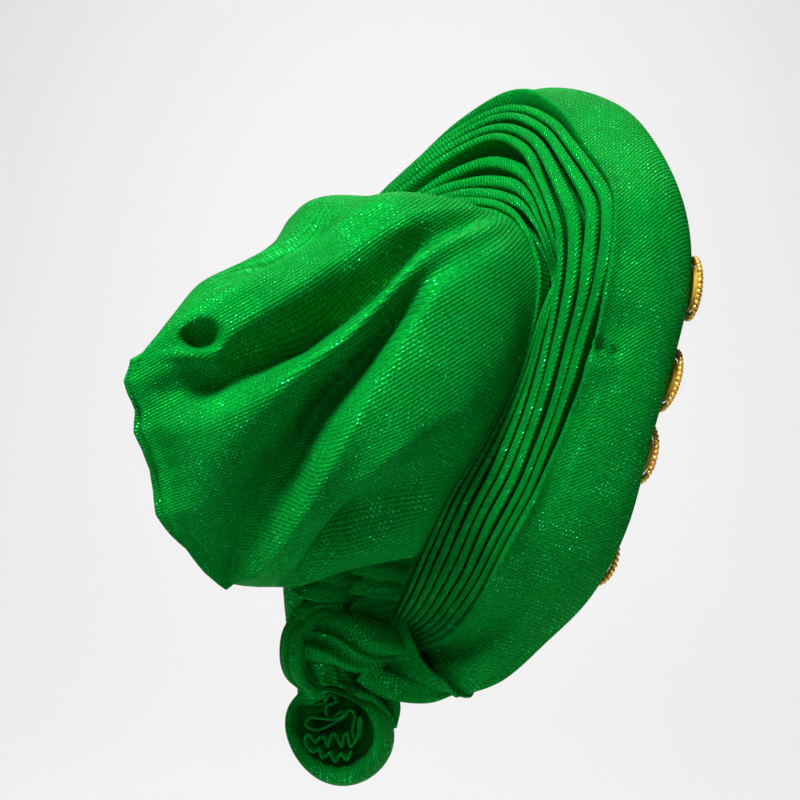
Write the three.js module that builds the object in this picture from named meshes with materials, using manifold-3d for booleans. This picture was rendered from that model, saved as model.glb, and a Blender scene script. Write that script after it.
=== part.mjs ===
// A pre-tied gele head tie of green brocade, in its worn form.
// A wide halo brim stands round the face, eight stitched pleats step down behind it to a hollow crown bag,
// and both ends of the brim are drawn through cuffs into a knot at the nape with a rolled, ruffled tail.
// Millimetres, +Z up. The wearer faces -Y, with the wearer's right at -X.
// The origin is the point on the top of the wearer's head where the crown sits.

import * as THREE from "three";
import Module from "manifold-3d";
import { mergeVertices } from "three/addons/utils/BufferGeometryUtils.js";

const wasm = await Module();
wasm.setup();

// Driving dimensions of the cloth and the brim.
const CLOTH = 1.6; // one layer of lined brocade
const PLEAT_CLOTH = 1.2; // one layer of the unlined pleats
const GAP = 0.6; // between pieces
const RIM_ROUND = 9; // radius of the brim's outer edge
const FACE_PUFF = 9; // how far the front of the brim swells forwards
const BAND_PUFF = 4; // how far the side of the brim swells outwards
const PLEAT_DEPTH = 11; // how far a pleat's two legs run into the brim
const LEFT_DRAWN_IN = 0.09; // how much narrower the brim is on the left
const LEFT_LEAN = 11; // how far the left side of the brim leans forwards
const BAND_STEPS = 36;
const PLEAT_STEPS = 30;

// The crown bag.
const BAG_AROUND = 36;
const BAG_ALONG = 13;
const BAG_END = 0.05; // share of the bag's mouth that closes it under each end of the arch
const BAG_LEG = 9; // how far the bag's mouth runs into the brim
const BAG_STEP = 0.5; // from the last pleat's line to the bag's mouth

// The cuffs round the brim's ends.
const CUFF_WALL = 2; // several layers of cloth wound flat
const CUFF_OFF = 1.4; // from the brim's end to the cuff's mouth
const CUFF_LONG = 1.04; // the mouth's length against the brim's end
const CUFF_LOW = 0.06; // how far the mouth hangs below the brim's end, as a share of its half length
const CUFF_SHIFT = 10; // how far the mouth's middle lies inside the brim's outer side
const CUFF_MOUTH_WIDE = 19;
const CUFF_AROUND = 16;

// The rolled tail.
const CUP_RADIUS = 34;
const CUP_DEPTH = 34;
const CUP_WALL = 3;
const CUP_AROUND = 18;
const RUFFLE_CLOTH = 1.2;
const RUFFLE_BACK = 3; // how far the raw edge lies inside the cup's lip

// The ornaments on the front of the brim.
const MEDALLION_RADIUS = 14.5;
const MEDALLION_HEIGHT = 7;
const BRAID_TUBE = 2.6; // half thickness of the beaded braid round a medallion
const ORNAMENT_INSET = 19; // from the brim's outer edge to a medallion's centre
const ORNAMENT_LIFT = 0.1; // clearance over the swelling front of the brim
const ORNAMENT_PLACES = [0.323, 0.266, 0.223, 0.159]; // along the arch from either end

// The four lines that the brim follows, from the right end at the nape to the top of the head.
// half is the distance from the middle, back is towards the nape and height is above the crown point.
const HAIRLINE = [
  { half: 25, back: 59, height: -273 },
  { half: 42, back: 52, height: -262 },
  { half: 56, back: 42, height: -238 },
  { half: 66, back: 30, height: -208 },
  { half: 73, back: 20, height: -175 },
  { half: 79, back: 5, height: -140 },
  { half: 80, back: -15, height: -108 },
  { half: 74, back: -38, height: -84 },
  { half: 64, back: -58, height: -70 },
  { half: 46, back: -76, height: -62 },
  { half: 24, back: -88, height: -58 },
  { half: 0, back: -92, height: -56 },
];
const RIM = [
  { half: 45, back: 67, height: -296 },
  { half: 66, back: 47, height: -284 },
  { half: 85, back: 28, height: -259 },
  { half: 113, back: 16, height: -225 },
  { half: 134, back: 8, height: -180 },
  { half: 146, back: 2, height: -126 },
  { half: 153, back: -10, height: -75 },
  { half: 154, back: -21, height: -30 },
  { half: 142, back: -28, height: 10 },
  { half: 111, back: -37, height: 46 },
  { half: 62, back: -55, height: 71 },
  { half: 0, back: -69, height: 79 },
];
const FOLD = [
  { half: 35, back: 76, height: -268 },
  { half: 52, back: 76, height: -254 },
  { half: 76, back: 77, height: -224 },
  { half: 100, back: 75, height: -187 },
  { half: 118, back: 64, height: -147 },
  { half: 129, back: 53, height: -110 },
  { half: 135, back: 42, height: -70 },
  { half: 137, back: 33, height: -27 },
  { half: 122, back: 20, height: 9 },
  { half: 92, back: 5, height: 38 },
  { half: 50, back: -12, height: 68 },
  { half: 0, back: -24, height: 80 },
];
const SEAM = [
  { half: 28, back: 106, height: -240 },
  { half: 42, back: 106, height: -219 },
  { half: 58, back: 103, height: -191 },
  { half: 74, back: 95, height: -161 },
  { half: 85, back: 79, height: -134 },
  { half: 92, back: 65, height: -107 },
  { half: 97, back: 53, height: -76 },
  { half: 98, back: 45, height: -41 },
  { half: 91, back: 42, height: -13 },
  { half: 72, back: 39, height: 5 },
  { half: 42, back: 34, height: 15 },
  { half: 0, back: 29, height: 19 },
];

// One row for each pleat, outermost first: how far it lies from the fold to the seam at the top of the head
// and at the sides, as a share, and how far it sinks below the others at the top.
const PLEATS = [
  { top: 0.14, side: 0.13, sink: 0 },
  { top: 0.25, side: 0.25, sink: 0 },
  { top: 0.36, side: 0.37, sink: 1 },
  { top: 0.47, side: 0.48, sink: 2 },
  { top: 0.58, side: 0.59, sink: 3 },
  { top: 0.71, side: 0.71, sink: 8 },
  { top: 0.83, side: 0.825, sink: 9 },
  { top: 0.945, side: 0.94, sink: 8 },
];

// The bag's loops from its mouth to its closed rear edge: the top and bottom points in the middle plane,
// the half width, and how far the sides reach back past the line from top to bottom.
const BAG = [
  { topBack: 40, topHeight: 19, lowBack: 108, lowHeight: -238, half: 97, reach: 0 },
  { topBack: 76, topHeight: 20, lowBack: 118, lowHeight: -229, half: 99, reach: 4 },
  { topBack: 112, topHeight: 18, lowBack: 132, lowHeight: -222, half: 93, reach: 8 },
  { topBack: 144, topHeight: -4, lowBack: 148, lowHeight: -218, half: 81, reach: 12 },
  { topBack: 180, topHeight: -20, lowBack: 166, lowHeight: -216, half: 66, reach: 16 },
  { topBack: 214, topHeight: -31, lowBack: 182, lowHeight: -214, half: 48, reach: 14 },
  { topBack: 245, topHeight: -51, lowBack: 196, lowHeight: -212, half: 28, reach: 16 },
  { topBack: 268, topHeight: -70, lowBack: 207, lowHeight: -209, half: 9, reach: 21 },
];

// The bag's main folds, from the top of the bag down. line gives each fold's course as places round and along
// the bag, lift is its height, below zero for a valley, and half is its half width.
const BAG_FOLDS = [
  { lift: 7, half: 11, line: [[0.453, 0.09], [0.419, 0.31], [0.412, 0.565], [0.41, 0.76]] },
  { lift: -10, half: 12, line: [[0.431, 0.16], [0.394, 0.335], [0.384, 0.515], [0.35, 0.68], [0.37, 0.9]] },
  { lift: 5, half: 12, line: [[0.394, 0.16], [0.36, 0.365], [0.338, 0.54], [0.307, 0.75], [0.294, 0.88]] },
  { lift: -9, half: 14, line: [[0.369, 0.265], [0.356, 0.435], [0.313, 0.545], [0.248, 0.665], [0.09, 0.9]] },
  { lift: 5, half: 40, line: [[0.332, 0.215], [0.273, 0.225], [0.214, 0.23]] },
  { lift: -8, half: 12, line: [[0.07, 0.5], [0.143, 0.505], [0.171, 0.26]] },
  { lift: -9, half: 9, line: [[0.41, 0.77], [0.425, 0.82], [0.42, 0.9]] },
];
const LEFT_FOLDS = 0.8; // height of the same folds on the left against the right

// The knot's strands and the tails. side is positive to the left, and tall and wide are a strand's half sizes.
const KNOT_CORE = { side: 2, back: 124, height: -256, radius: 21 };
const WRAP = [
  { side: -10, back: 108, height: -261, tall: 16, wide: 10 },
  { side: -21, back: 122, height: -256, tall: 19, wide: 12 },
  { side: -15, back: 143, height: -253, tall: 20, wide: 13 },
  { side: 3, back: 153, height: -250, tall: 19, wide: 13 },
  { side: 20, back: 144, height: -249, tall: 17, wide: 12 },
  { side: 25, back: 128, height: -252, tall: 14, wide: 10 },
];
const SIDE_LOOP = [
  { side: 9, back: 146, height: -236, tall: 7, wide: 6 },
  { side: 16, back: 152, height: -248, tall: 11, wide: 9 },
  { side: 16, back: 152, height: -268, tall: 11, wide: 9 },
  { side: 8, back: 143, height: -281, tall: 7, wide: 6 },
];
const STALK = [
  { side: 4, back: 134, height: -250, tall: 12, wide: 14 },
  { side: 8, back: 141, height: -234, tall: 9, wide: 11 },
  { side: 9, back: 144, height: -214, tall: 8, wide: 9 },
];
const STEM = [
  { side: 4, back: 132, height: -272, tall: 10, wide: 13 },
  { side: 3, back: 130, height: -284, tall: 12, wide: 15 },
  { side: 1, back: 126, height: -304, tall: 12, wide: 16 },
];
const SHORT_TAIL = [
  { side: 0, back: 110, height: -262, tall: 4, wide: 12 },
  { side: -6, back: 103, height: -286, tall: 5, wide: 13 },
  { side: -8, back: 101, height: -312, tall: 4, wide: 8 },
];
const CUFF_END = { side: 13, back: 113, height: -262, tall: 18, wide: 9 };
const CUP_CENTRE = { side: -3, back: 130, height: -316 };

// The raw end of the cloth winds to and fro inside the rolled tail: right and up from the cup's centre.
const RUFFLE = [
  { right: -15, up: 24 },
  { right: -9, up: 20 },
  { right: -13, up: 14 },
  { right: -5, up: 17 },
  { right: -1, up: 24 },
  { right: 3, up: 17 },
  { right: -2, up: 10 },
  { right: -13, up: 3 },
  { right: -17, up: 7 },
  { right: -8, up: 11 },
  { right: 8, up: 16 },
  { right: 7, up: 4 },
  { right: 8, up: -5 },
  { right: 13, up: -2 },
  { right: 14, up: 8 },
  { right: 17, up: 15 },
];

const vec = (x, y, z) => new THREE.Vector3(x, y, z);
const clamp = THREE.MathUtils.clamp;
const lerp = THREE.MathUtils.lerp;
const smooth = (x, from, to) => THREE.MathUtils.smoothstep(x, from, to);
const range = (count) => Array.from({ length: count }, (_, i) => i);
const curve = (points) => new THREE.CatmullRomCurve3(points, false, "catmullrom", 0.5);

// A line of the arch over the head, from the right end over the top to the left end. The left half repeats the
// right one, drawn in and leaning forwards by the given amounts.
function archLine(rows, drawnIn = 0, lean = 0) {
  const widest = Math.max(...rows.map((r) => r.half));
  const right = rows.map((r) => vec(-r.half, r.back, r.height));
  const leftOf = (r) => vec(r.half * (1 - drawnIn), r.back - (lean * r.half) / widest, r.height);
  const line = curve([...right, ...rows.slice(0, -1).map(leftOf).reverse()]);
  return (t) => line.getPoint(clamp(t, 0, 1));
}
const hairline = archLine(HAIRLINE);
const rim = archLine(RIM, LEFT_DRAWN_IN, LEFT_LEAN);
const fold = archLine(FOLD, LEFT_DRAWN_IN, LEFT_LEAN);
const seam = archLine(SEAM);

// The unit normal of the strip between two lines at t, on the side of the given direction.
function stripNormal(lineA, lineB, t, towards) {
  const step = 0.01;
  const middle = (s) => lineA(s).add(lineB(s)).multiplyScalar(0.5);
  const along = middle(Math.min(1, t + step)).sub(middle(Math.max(0, t - step)));
  const across = lineB(t).sub(lineA(t));
  const normal = along.cross(across).normalize();
  return normal.dot(towards) < 0 ? normal.negate() : normal;
}
const headMiddle = vec(0, 0, -118);
function outwards(t) {
  const p = fold(t).sub(headMiddle);
  return vec(p.x, p.y * 0.3, p.z).normalize();
}
const bandNormal = (t) => stripNormal(rim, fold, t, outwards(t));
const faceNormal = (t) => stripNormal(hairline, rim, t, vec(0, -1, 0));
const pleatNormal = (t) => stripNormal(fold, seam, t, vec(0, 1, 0.4));
const acrossPleats = (t) => seam(t).sub(fold(t)).normalize();

// The direction in which the arch runs at t.
function archTangent(t) {
  const step = 0.01;
  return fold(Math.min(1, t + step)).sub(fold(Math.max(0, t - step))).normalize();
}

// A closed mesh from rings of points, each ring closed on itself. Flat caps close both ends, or, where joined,
// the last ring meets the first.
function ringsGeometry(rings, joined = false) {
  const count = rings[0].length;
  const positions = rings.flat().flatMap((p) => [p.x, p.y, p.z]);
  const index = [];
  const at = (i, j) => (i % rings.length) * count + (j % count);
  for (let i = 0; i < rings.length - (joined ? 0 : 1); i++)
    for (let j = 0; j < count; j++) {
      index.push(at(i, j), at(i + 1, j), at(i + 1, j + 1));
      index.push(at(i, j), at(i + 1, j + 1), at(i, j + 1));
    }
  if (!joined) {
    const last = rings.length - 1;
    for (const [a, b, c] of capTriangles(count)) {
      index.push(at(0, a), at(0, b), at(0, c));
      index.push(at(last, c), at(last, b), at(last, a));
    }
  }
  return facingOut(positions, index);
}

// A cap zips the first half of a ring to its second half.
function capTriangles(count) {
  const triangles = [];
  for (let low = 0, high = count - 1; high - low >= 2; low++, high--) {
    triangles.push([low, low + 1, high]);
    if (high - low > 2) triangles.push([low + 1, high - 1, high]);
  }
  return triangles;
}

// Turns a closed mesh's triangles outwards where they face in.
function facingOut(positions, index) {
  let volume = 0;
  for (let i = 0; i < index.length; i += 3) {
    const [a, b, c] = index.slice(i, i + 3).map((n) => vec(...positions.slice(3 * n, 3 * n + 3)));
    volume += a.dot(b.cross(c));
  }
  if (volume < 0) index.reverse();
  const geometry = new THREE.BufferGeometry();
  geometry.setAttribute("position", new THREE.Float32BufferAttribute(positions, 3));
  geometry.setIndex(index);
  return geometry;
}

// A ring round a cloth strip: the strip's own points, then the same points one thickness further in.
function clothSection(points, tangent, inward, thickness) {
  const alongAt = (i) => points[Math.min(i + 1, points.length - 1)].clone().sub(points[Math.max(i - 1, 0)]);
  const side = alongAt(1).cross(tangent).dot(inward) < 0 ? -1 : 1;
  const inner = points.map((p, i) => {
    const normal = alongAt(i).cross(tangent).normalize();
    return p.clone().addScaledVector(normal, side * thickness);
  });
  return [...points, ...inner.reverse()];
}

// The radius of the band's rolled back edge, and the half width of a pleat.
const pleatWidth = (t) => fold(t).distanceTo(seam(t));
const foldRadius = (t) => clamp(0.055 * pleatWidth(t), 1.8, 4.6);
const pleatRadius = (t) => Math.min(0.052 * pleatWidth(t) - 0.5 * GAP, 4);

// How far along the arch t is: from the sides (0) to the top of the head (1), and from an end (0) to the
// brim's full width (1).
const topShare = (t) => smooth(1 - Math.abs(2 * t - 1), 0.6, 0.97);
const bodyShare = (t) => smooth(Math.min(t, 1 - t), 0, 0.09);
const legDepth = (t) => lerp(0.65, 1, bodyShare(t)) * PLEAT_DEPTH;

// The brim's single sheet: up the front of the face opening, round the outer edge, back over the side band
// and into the brim beside the first pleat.
function bandLine(t) {
  const [h, r, f] = [hairline(t), rim(t), fold(t)];
  const [nFace, nBand, nPleat] = [faceNormal(t), bandNormal(t), pleatNormal(t)];
  const toHair = h.clone().sub(r).normalize();
  const toFold = f.clone().sub(r).normalize();
  const toSeam = acrossPleats(t);
  const round = Math.min(RIM_ROUND, 0.25 * f.distanceTo(r));
  const puff = lerp(0.3, 1, bodyShare(t));
  const roll = foldRadius(t);
  const between = (from, to, share, normal, lift) => from.clone().lerp(to, share).addScaledVector(normal, lift);
  return [
    h.clone(),
    between(h, r, 0.3, nFace, 0.75 * FACE_PUFF * puff),
    between(h, r, 0.62, nFace, FACE_PUFF * puff),
    r.clone().addScaledVector(toHair, round).addScaledVector(nFace, 0.3 * round),
    r.clone().addScaledVector(toHair, 0.1 * round).addScaledVector(toFold, 0.1 * round),
    r.clone().addScaledVector(toFold, round).addScaledVector(nBand, 0.3 * round),
    between(r, f, 0.5, nBand, BAND_PUFF * puff),
    f.clone().addScaledVector(toFold, -2 * roll).addScaledVector(nBand, 0.5 * roll),
    f.clone().addScaledVector(nPleat, 0.9 * roll),
    f.clone().addScaledVector(toSeam, 0.9 * roll),
    f.clone().addScaledVector(toSeam, 0.9 * roll).addScaledVector(nPleat, -legDepth(t)),
  ];
}
const bandSection = (t) => clothSection(bandLine(t), archTangent(t), faceNormal(t).negate(), CLOTH);

// A pleat is one layer of cloth doubled over: two legs that run into the brim, and a rounded crest.
function pleatSection(row, t) {
  const out = pleatNormal(t);
  const share = lerp(row.side, row.top, topShare(t));
  const radius = pleatRadius(t);
  const centre = fold(t).lerp(seam(t), share).addScaledVector(out, -row.sink * topShare(t));
  const place = (x, y) => centre.clone().addScaledVector(acrossPleats(t), x).addScaledVector(out, y);
  const inner = radius - Math.min(PLEAT_CLOTH, 0.7 * radius);
  const leg = legDepth(t);
  return [
    place(-radius, -leg),
    place(-radius, 0),
    place(0, radius),
    place(radius, 0),
    place(radius, -leg),
    place(inner, -leg),
    place(inner, -0.2 * radius),
    place(-inner, -0.2 * radius),
    place(-inner, -leg),
  ];
}

// The bag's mouth follows the last pleat's line, and closes under the two ends of the arch.
const archAt = (u) => clamp((u - BAG_END) / (1 - 2 * BAG_END), 0, 1);
function mouthPoint(u) {
  const t = archAt(u);
  const point = seam(t).addScaledVector(acrossPleats(t), BAG_STEP);
  point.x *= Math.min(1, u / BAG_END, (1 - u) / BAG_END);
  return point;
}

// The bag's shape: u runs round a loop from the bottom up the right side, v from the mouth to the rear edge.
const bagTop = curve(BAG.map((r) => vec(0, r.topBack, r.topHeight)));
const bagLow = curve(BAG.map((r) => vec(0, r.lowBack, r.lowHeight)));
const bagSize = curve(BAG.map((r) => vec(r.half, r.reach, 0)));
function bagLoop(u, v) {
  const rise = (1 - Math.cos(2 * Math.PI * u)) / 2;
  const size = bagSize.getPoint(v);
  const point = bagLow.getPoint(v).lerp(bagTop.getPoint(v), rise);
  point.x = -size.x * Math.sin(2 * Math.PI * u);
  point.y += size.y * Math.sin(Math.PI * rise ** 0.75);
  return point;
}
function bagSmooth(u, v) {
  const toMouth = mouthPoint(u).sub(bagLoop(u, 0));
  return bagLoop(u, v).addScaledVector(toMouth, 1 - smooth(v, 0, 0.45));
}
function surfaceNormal(surface, u, v) {
  const step = 0.01;
  const around = surface(u + step, v).sub(surface(u - step, v));
  const along = surface(u, Math.min(1, v + step)).sub(surface(u, Math.max(0, v - step)));
  return around.cross(along).normalize();
}

// The folds as lines on the smooth bag, on the right side and again on the left.
const foldLines = BAG_FOLDS.flatMap(({ lift, half, line }) => {
  const right = line.map(([u, v]) => bagSmooth(u, v));
  const left = line.map(([u, v]) => bagSmooth(1 - u, v));
  return [
    { lift, half, points: curve(right).getPoints(24) },
    { lift: lift * LEFT_FOLDS, half, points: curve(left).getPoints(24) },
  ];
});
function foldLift(point) {
  const heights = foldLines.map(({ lift, half, points }) => {
    const distance = Math.min(...points.map((p) => p.distanceTo(point)));
    return lift * Math.exp(-((distance / half) ** 2));
  });
  return heights.reduce((sum, height) => sum + height, 0);
}
function bagPoint(u, v) {
  const point = bagSmooth(u, v);
  const lift = foldLift(point) * smooth(v, 0, 0.15);
  return point.addScaledVector(surfaceNormal(bagSmooth, u, v), lift);
}

// One surface of the bag's wall: the leg that runs into the brim, then the rings from mouth to rear edge.
function bagSurface(inset) {
  const around = range(BAG_AROUND).map((j) => (j + 0.5) / BAG_AROUND);
  const leg = around.map((u) => {
    const t = archAt(u);
    const depth = lerp(0.3, 1, bodyShare(t)) * BAG_LEG;
    return mouthPoint(u).addScaledVector(pleatNormal(t), -depth).addScaledVector(acrossPleats(t), inset);
  });
  const rings = range(BAG_ALONG + 1).map((i) => {
    const v = i / BAG_ALONG;
    return around.map((u) => bagPoint(u, v).addScaledVector(surfaceNormal(bagPoint, u, v), -inset));
  });
  return [leg, ...rings];
}
const bagGeometry = () => ringsGeometry([...bagSurface(CLOTH).reverse(), ...bagSurface(0)]);

// The rolled tail's opening faces back and to the wearer's right.
const cupFacing = vec(-0.766, 0.643, 0);
const cupRight = vec(-0.643, -0.766, 0);
const up = vec(0, 0, 1);

// Solids for cutting and joining.
function toSolid(geometry) {
  const bare = geometry.clone();
  bare.deleteAttribute("normal");
  bare.deleteAttribute("uv");
  const merged = mergeVertices(bare, 1e-4);
  const vertProperties = merged.attributes.position.array;
  const triVerts = new Uint32Array(merged.index.array);
  return new wasm.Manifold(new wasm.Mesh({ numProp: 3, vertProperties, triVerts }));
}
function toGeometry(solid) {
  const mesh = solid.getMesh();
  const geometry = new THREE.BufferGeometry();
  geometry.setAttribute("position", new THREE.BufferAttribute(mesh.vertProperties, 3));
  geometry.setIndex(new THREE.BufferAttribute(mesh.triVerts, 1));
  return geometry;
}
const largest = (solid) => solid.decompose().sort((a, b) => b.volume() - a.volume())[0];

// A strand of wound cloth: oval sections along a smooth line, thicker all round by grow.
const STRAND_AROUND = 12;
const STEPS_PER_ROW = 3;
function strand(rows, grow = 0) {
  const line = curve(rows.map((r) => vec(r.side, r.back, r.height)));
  const size = curve(rows.map((r) => vec(r.tall + grow, r.wide + grow, 0)));
  const count = STEPS_PER_ROW * (rows.length - 1);
  const rings = range(count + 1).map((i) => {
    const at = i / count;
    const tangent = line.getTangent(at);
    const upright = Math.abs(tangent.z) < 0.7 ? up : cupFacing;
    const flat = tangent.clone().cross(upright).normalize();
    const tall = flat.clone().cross(tangent).normalize();
    const half = size.getPoint(at);
    return range(STRAND_AROUND).map((j) => {
      const angle = (2 * Math.PI * j) / STRAND_AROUND;
      const point = line.getPoint(at).addScaledVector(tall, half.x * Math.cos(angle));
      return point.addScaledVector(flat, half.y * Math.sin(angle));
    });
  });
  return toSolid(ringsGeometry(rings));
}

const bagRoom = toSolid(ringsGeometry(bagSurface(-GAP)));

// The knot at the nape: a core, the strand that wraps it, the loop beside it and the stalk up to the bag.
function knotSolid(grow) {
  const core = new THREE.SphereGeometry(KNOT_CORE.radius + grow, 16, 10);
  core.translate(KNOT_CORE.side, KNOT_CORE.back, KNOT_CORE.height);
  const strands = [WRAP, SIDE_LOOP, STALK].map((rows) => strand(rows, grow));
  return strands.reduce((sum, piece) => sum.add(piece), toSolid(core)).subtract(bagRoom);
}

// A cuff: an open sleeve of cloth from a mouth at the brim's end to the knot.
function cuffRing(side, share, inset) {
  const t = side < 0 ? 0 : 1;
  const [s, r] = [seam(t), rim(t)];
  const middle = s.clone().add(r).multiplyScalar(0.5);
  const mouthLong = s.clone().sub(r).multiplyScalar(0.5 * CUFF_LONG);
  const end = vec(side * CUFF_END.side, CUFF_END.back, CUFF_END.height);
  const short = mouthLong.clone().cross(end.clone().sub(middle)).normalize();
  if (short.dot(hairline(t).sub(middle)) < 0) short.negate();
  const away = short.clone().cross(mouthLong).normalize();
  if (away.dot(end.clone().sub(middle)) < 0) away.negate();
  middle.addScaledVector(away, CUFF_OFF).addScaledVector(short, CUFF_SHIFT);
  const centre = middle.addScaledVector(mouthLong, -CUFF_LOW).lerp(end, share);
  const long = mouthLong.lerp(vec(0, 3, CUFF_END.tall), share);
  const half = lerp(CUFF_MOUTH_WIDE, CUFF_END.wide, share) - inset;
  const reach = 1 - inset / long.length();
  const boxy = (x) => Math.sign(x) * Math.abs(x) ** 0.8;
  return range(CUFF_AROUND).map((j) => {
    const angle = (2 * Math.PI * j) / CUFF_AROUND;
    const point = centre.clone().addScaledVector(long, reach * boxy(Math.cos(angle)));
    return point.addScaledVector(short, half * boxy(Math.sin(angle)));
  });
}
const CUFF_SHARES = [0, 0.2, 0.55, 1];
const cuffSurface = (side, inset) => CUFF_SHARES.map((share) => cuffRing(side, share, inset));
const cuffRoom = (side) => toSolid(ringsGeometry(cuffSurface(side, -GAP)));
function cuffGeometry(side, knotRoom) {
  const wall = [...cuffSurface(side, 0), ...cuffSurface(side, CUFF_WALL).reverse()];
  const sleeve = toSolid(ringsGeometry(wall, true));
  return toGeometry(largest(sleeve.subtract(knotRoom).subtract(bagRoom)));
}

// A turned shape standing at a place: radius is measured from its axis and height along it.
function turned(profile, around, axis, place, scale = 1) {
  const points = profile.map((p) => new THREE.Vector2(scale * p.radius, scale * p.height));
  const geometry = new THREE.LatheGeometry(points, around);
  geometry.applyQuaternion(new THREE.Quaternion().setFromUnitVectors(vec(0, 1, 0), axis));
  return geometry.translate(place.x, place.y, place.z);
}

// The tail's rolled end is a cup with a thick lip, hung from the knot by a stem.
const cupPlace = vec(CUP_CENTRE.side, CUP_CENTRE.back, CUP_CENTRE.height);
const LIP_TOP = { radius: 29, height: 4 };
const CUP_OUTSIDE = [
  { radius: 0, height: -CUP_DEPTH },
  { radius: 14, height: -CUP_DEPTH },
  { radius: 24, height: -0.8 * CUP_DEPTH },
  { radius: 31, height: -0.4 * CUP_DEPTH },
  { radius: CUP_RADIUS, height: -2 },
  { radius: 32, height: 2.5 },
  LIP_TOP,
];
const CUP_INSIDE = [
  { radius: 26, height: 2 },
  { radius: 25.5, height: -2 },
  { radius: 27, height: -0.4 * CUP_DEPTH },
  { radius: 20, height: -0.74 * CUP_DEPTH },
  { radius: 12, height: CUP_WALL - CUP_DEPTH },
  { radius: 0, height: CUP_WALL - CUP_DEPTH },
];
const ROOM = 1.02; // scale of the space kept free round the cup
const cupSolid = (profile, scale) => toSolid(turned(profile, CUP_AROUND, cupFacing, cupPlace, scale));
const cupFilled = (scale) => cupSolid([...CUP_OUTSIDE, { radius: 0, height: LIP_TOP.height }], scale);
function rolledTail(knotRoom) {
  const stem = strand(STEM).subtract(cupFilled(1));
  const cup = cupSolid([...CUP_OUTSIDE, ...CUP_INSIDE], 1);
  return toGeometry(largest(cup.add(stem).subtract(knotRoom)));
}
function shortTail(knotRoom) {
  const rooms = [knotRoom, strand(STEM, GAP), cupFilled(ROOM), cuffRoom(-1), cuffRoom(1)];
  return toGeometry(largest(rooms.reduce((left, room) => left.subtract(room), strand(SHORT_TAIL))));
}

// The ruffle: a ribbon on edge that fills the cup from its base to just inside the lip.
function ruffleGeometry() {
  const line = curve(RUFFLE.map((p) => vec(p.right, p.up, 0)));
  const count = 2 * (RUFFLE.length - 1);
  const edge = (side) => range(count + 1).map((i) => {
    const tangent = line.getTangent(i / count);
    const p = line.getPoint(i / count);
    const offset = 0.5 * side * RUFFLE_CLOTH;
    return new THREE.Vector2(p.x - offset * tangent.y, p.y + offset * tangent.x);
  });
  const shape = new THREE.Shape([...edge(1), ...edge(-1).reverse()]);
  const ribbon = new THREE.ExtrudeGeometry(shape, { depth: CUP_DEPTH - RUFFLE_BACK, bevelEnabled: false });
  ribbon.translate(0, 0, -CUP_DEPTH);
  const frame = new THREE.Matrix4().makeBasis(cupRight, up, cupFacing).setPosition(cupPlace);
  const space = cupSolid([...CUP_INSIDE].reverse().concat({ radius: 0, height: 2 }), 2 - ROOM);
  return toGeometry(largest(toSolid(ribbon.applyMatrix4(frame)).intersect(space)));
}

// The ornaments stand on the front of the brim, just inside its outer edge: a padded medallion in a ring of
// beaded braid.
const DOME_AROUND = 12;
const BRAID_AROUND = 14;
const DOME = [
  { radius: 0, height: 0 },
  { radius: MEDALLION_RADIUS, height: 0 },
  { radius: MEDALLION_RADIUS, height: 0.2 * MEDALLION_HEIGHT },
  { radius: 0.8 * MEDALLION_RADIUS, height: 0.7 * MEDALLION_HEIGHT },
  { radius: 0.4 * MEDALLION_RADIUS, height: 0.95 * MEDALLION_HEIGHT },
  { radius: 0, height: MEDALLION_HEIGHT },
];
const BRAID = range(7).map((i) => {
  const angle = (Math.PI / 3) * i;
  const middle = MEDALLION_RADIUS + GAP + BRAID_TUBE;
  return { radius: middle + BRAID_TUBE * Math.cos(angle), height: BRAID_TUBE * (1 + Math.sin(angle)) };
});
function ornamentPlace(t) {
  const frontAt = (s) => bandLine(s).slice(1, 5);
  const [, inner, outer] = frontAt(t);
  const inwards = inner.clone().sub(outer);
  const arch = frontAt(t + 0.01)[2].sub(frontAt(t - 0.01)[2]);
  const normal = inwards.clone().cross(arch).normalize();
  if (normal.dot(faceNormal(t)) < 0) normal.negate();
  const centre = outer.clone().addScaledVector(inwards, (ORNAMENT_INSET - RIM_ROUND) / inwards.length());
  const reach = MEDALLION_RADIUS + GAP + 2 * BRAID_TUBE;
  const near = range(9).flatMap((i) => frontAt(t + 0.01 * (i - 4)));
  const under = near.map((p) => p.sub(centre)).filter((p) => p.length() < 1.4 * reach);
  const lift = Math.max(...under.map((p) => p.dot(normal)), 0) + ORNAMENT_LIFT;
  return { centre: centre.addScaledVector(normal, lift), normal };
}

const brocade = new THREE.MeshStandardMaterial({ color: 0x0a8a30, roughness: 0.55, metalness: 0.1 });
const goldBraid = new THREE.MeshStandardMaterial({ color: 0xc9962a, roughness: 0.35, metalness: 0.6 });
const yellowCloth = new THREE.MeshStandardMaterial({ color: 0xe8c33a, roughness: 0.6, metalness: 0 });
const group = new THREE.Group();
function add(name, geometry, material) {
  const mesh = new THREE.Mesh(geometry, material);
  mesh.name = name;
  group.add(mesh);
}

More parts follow.
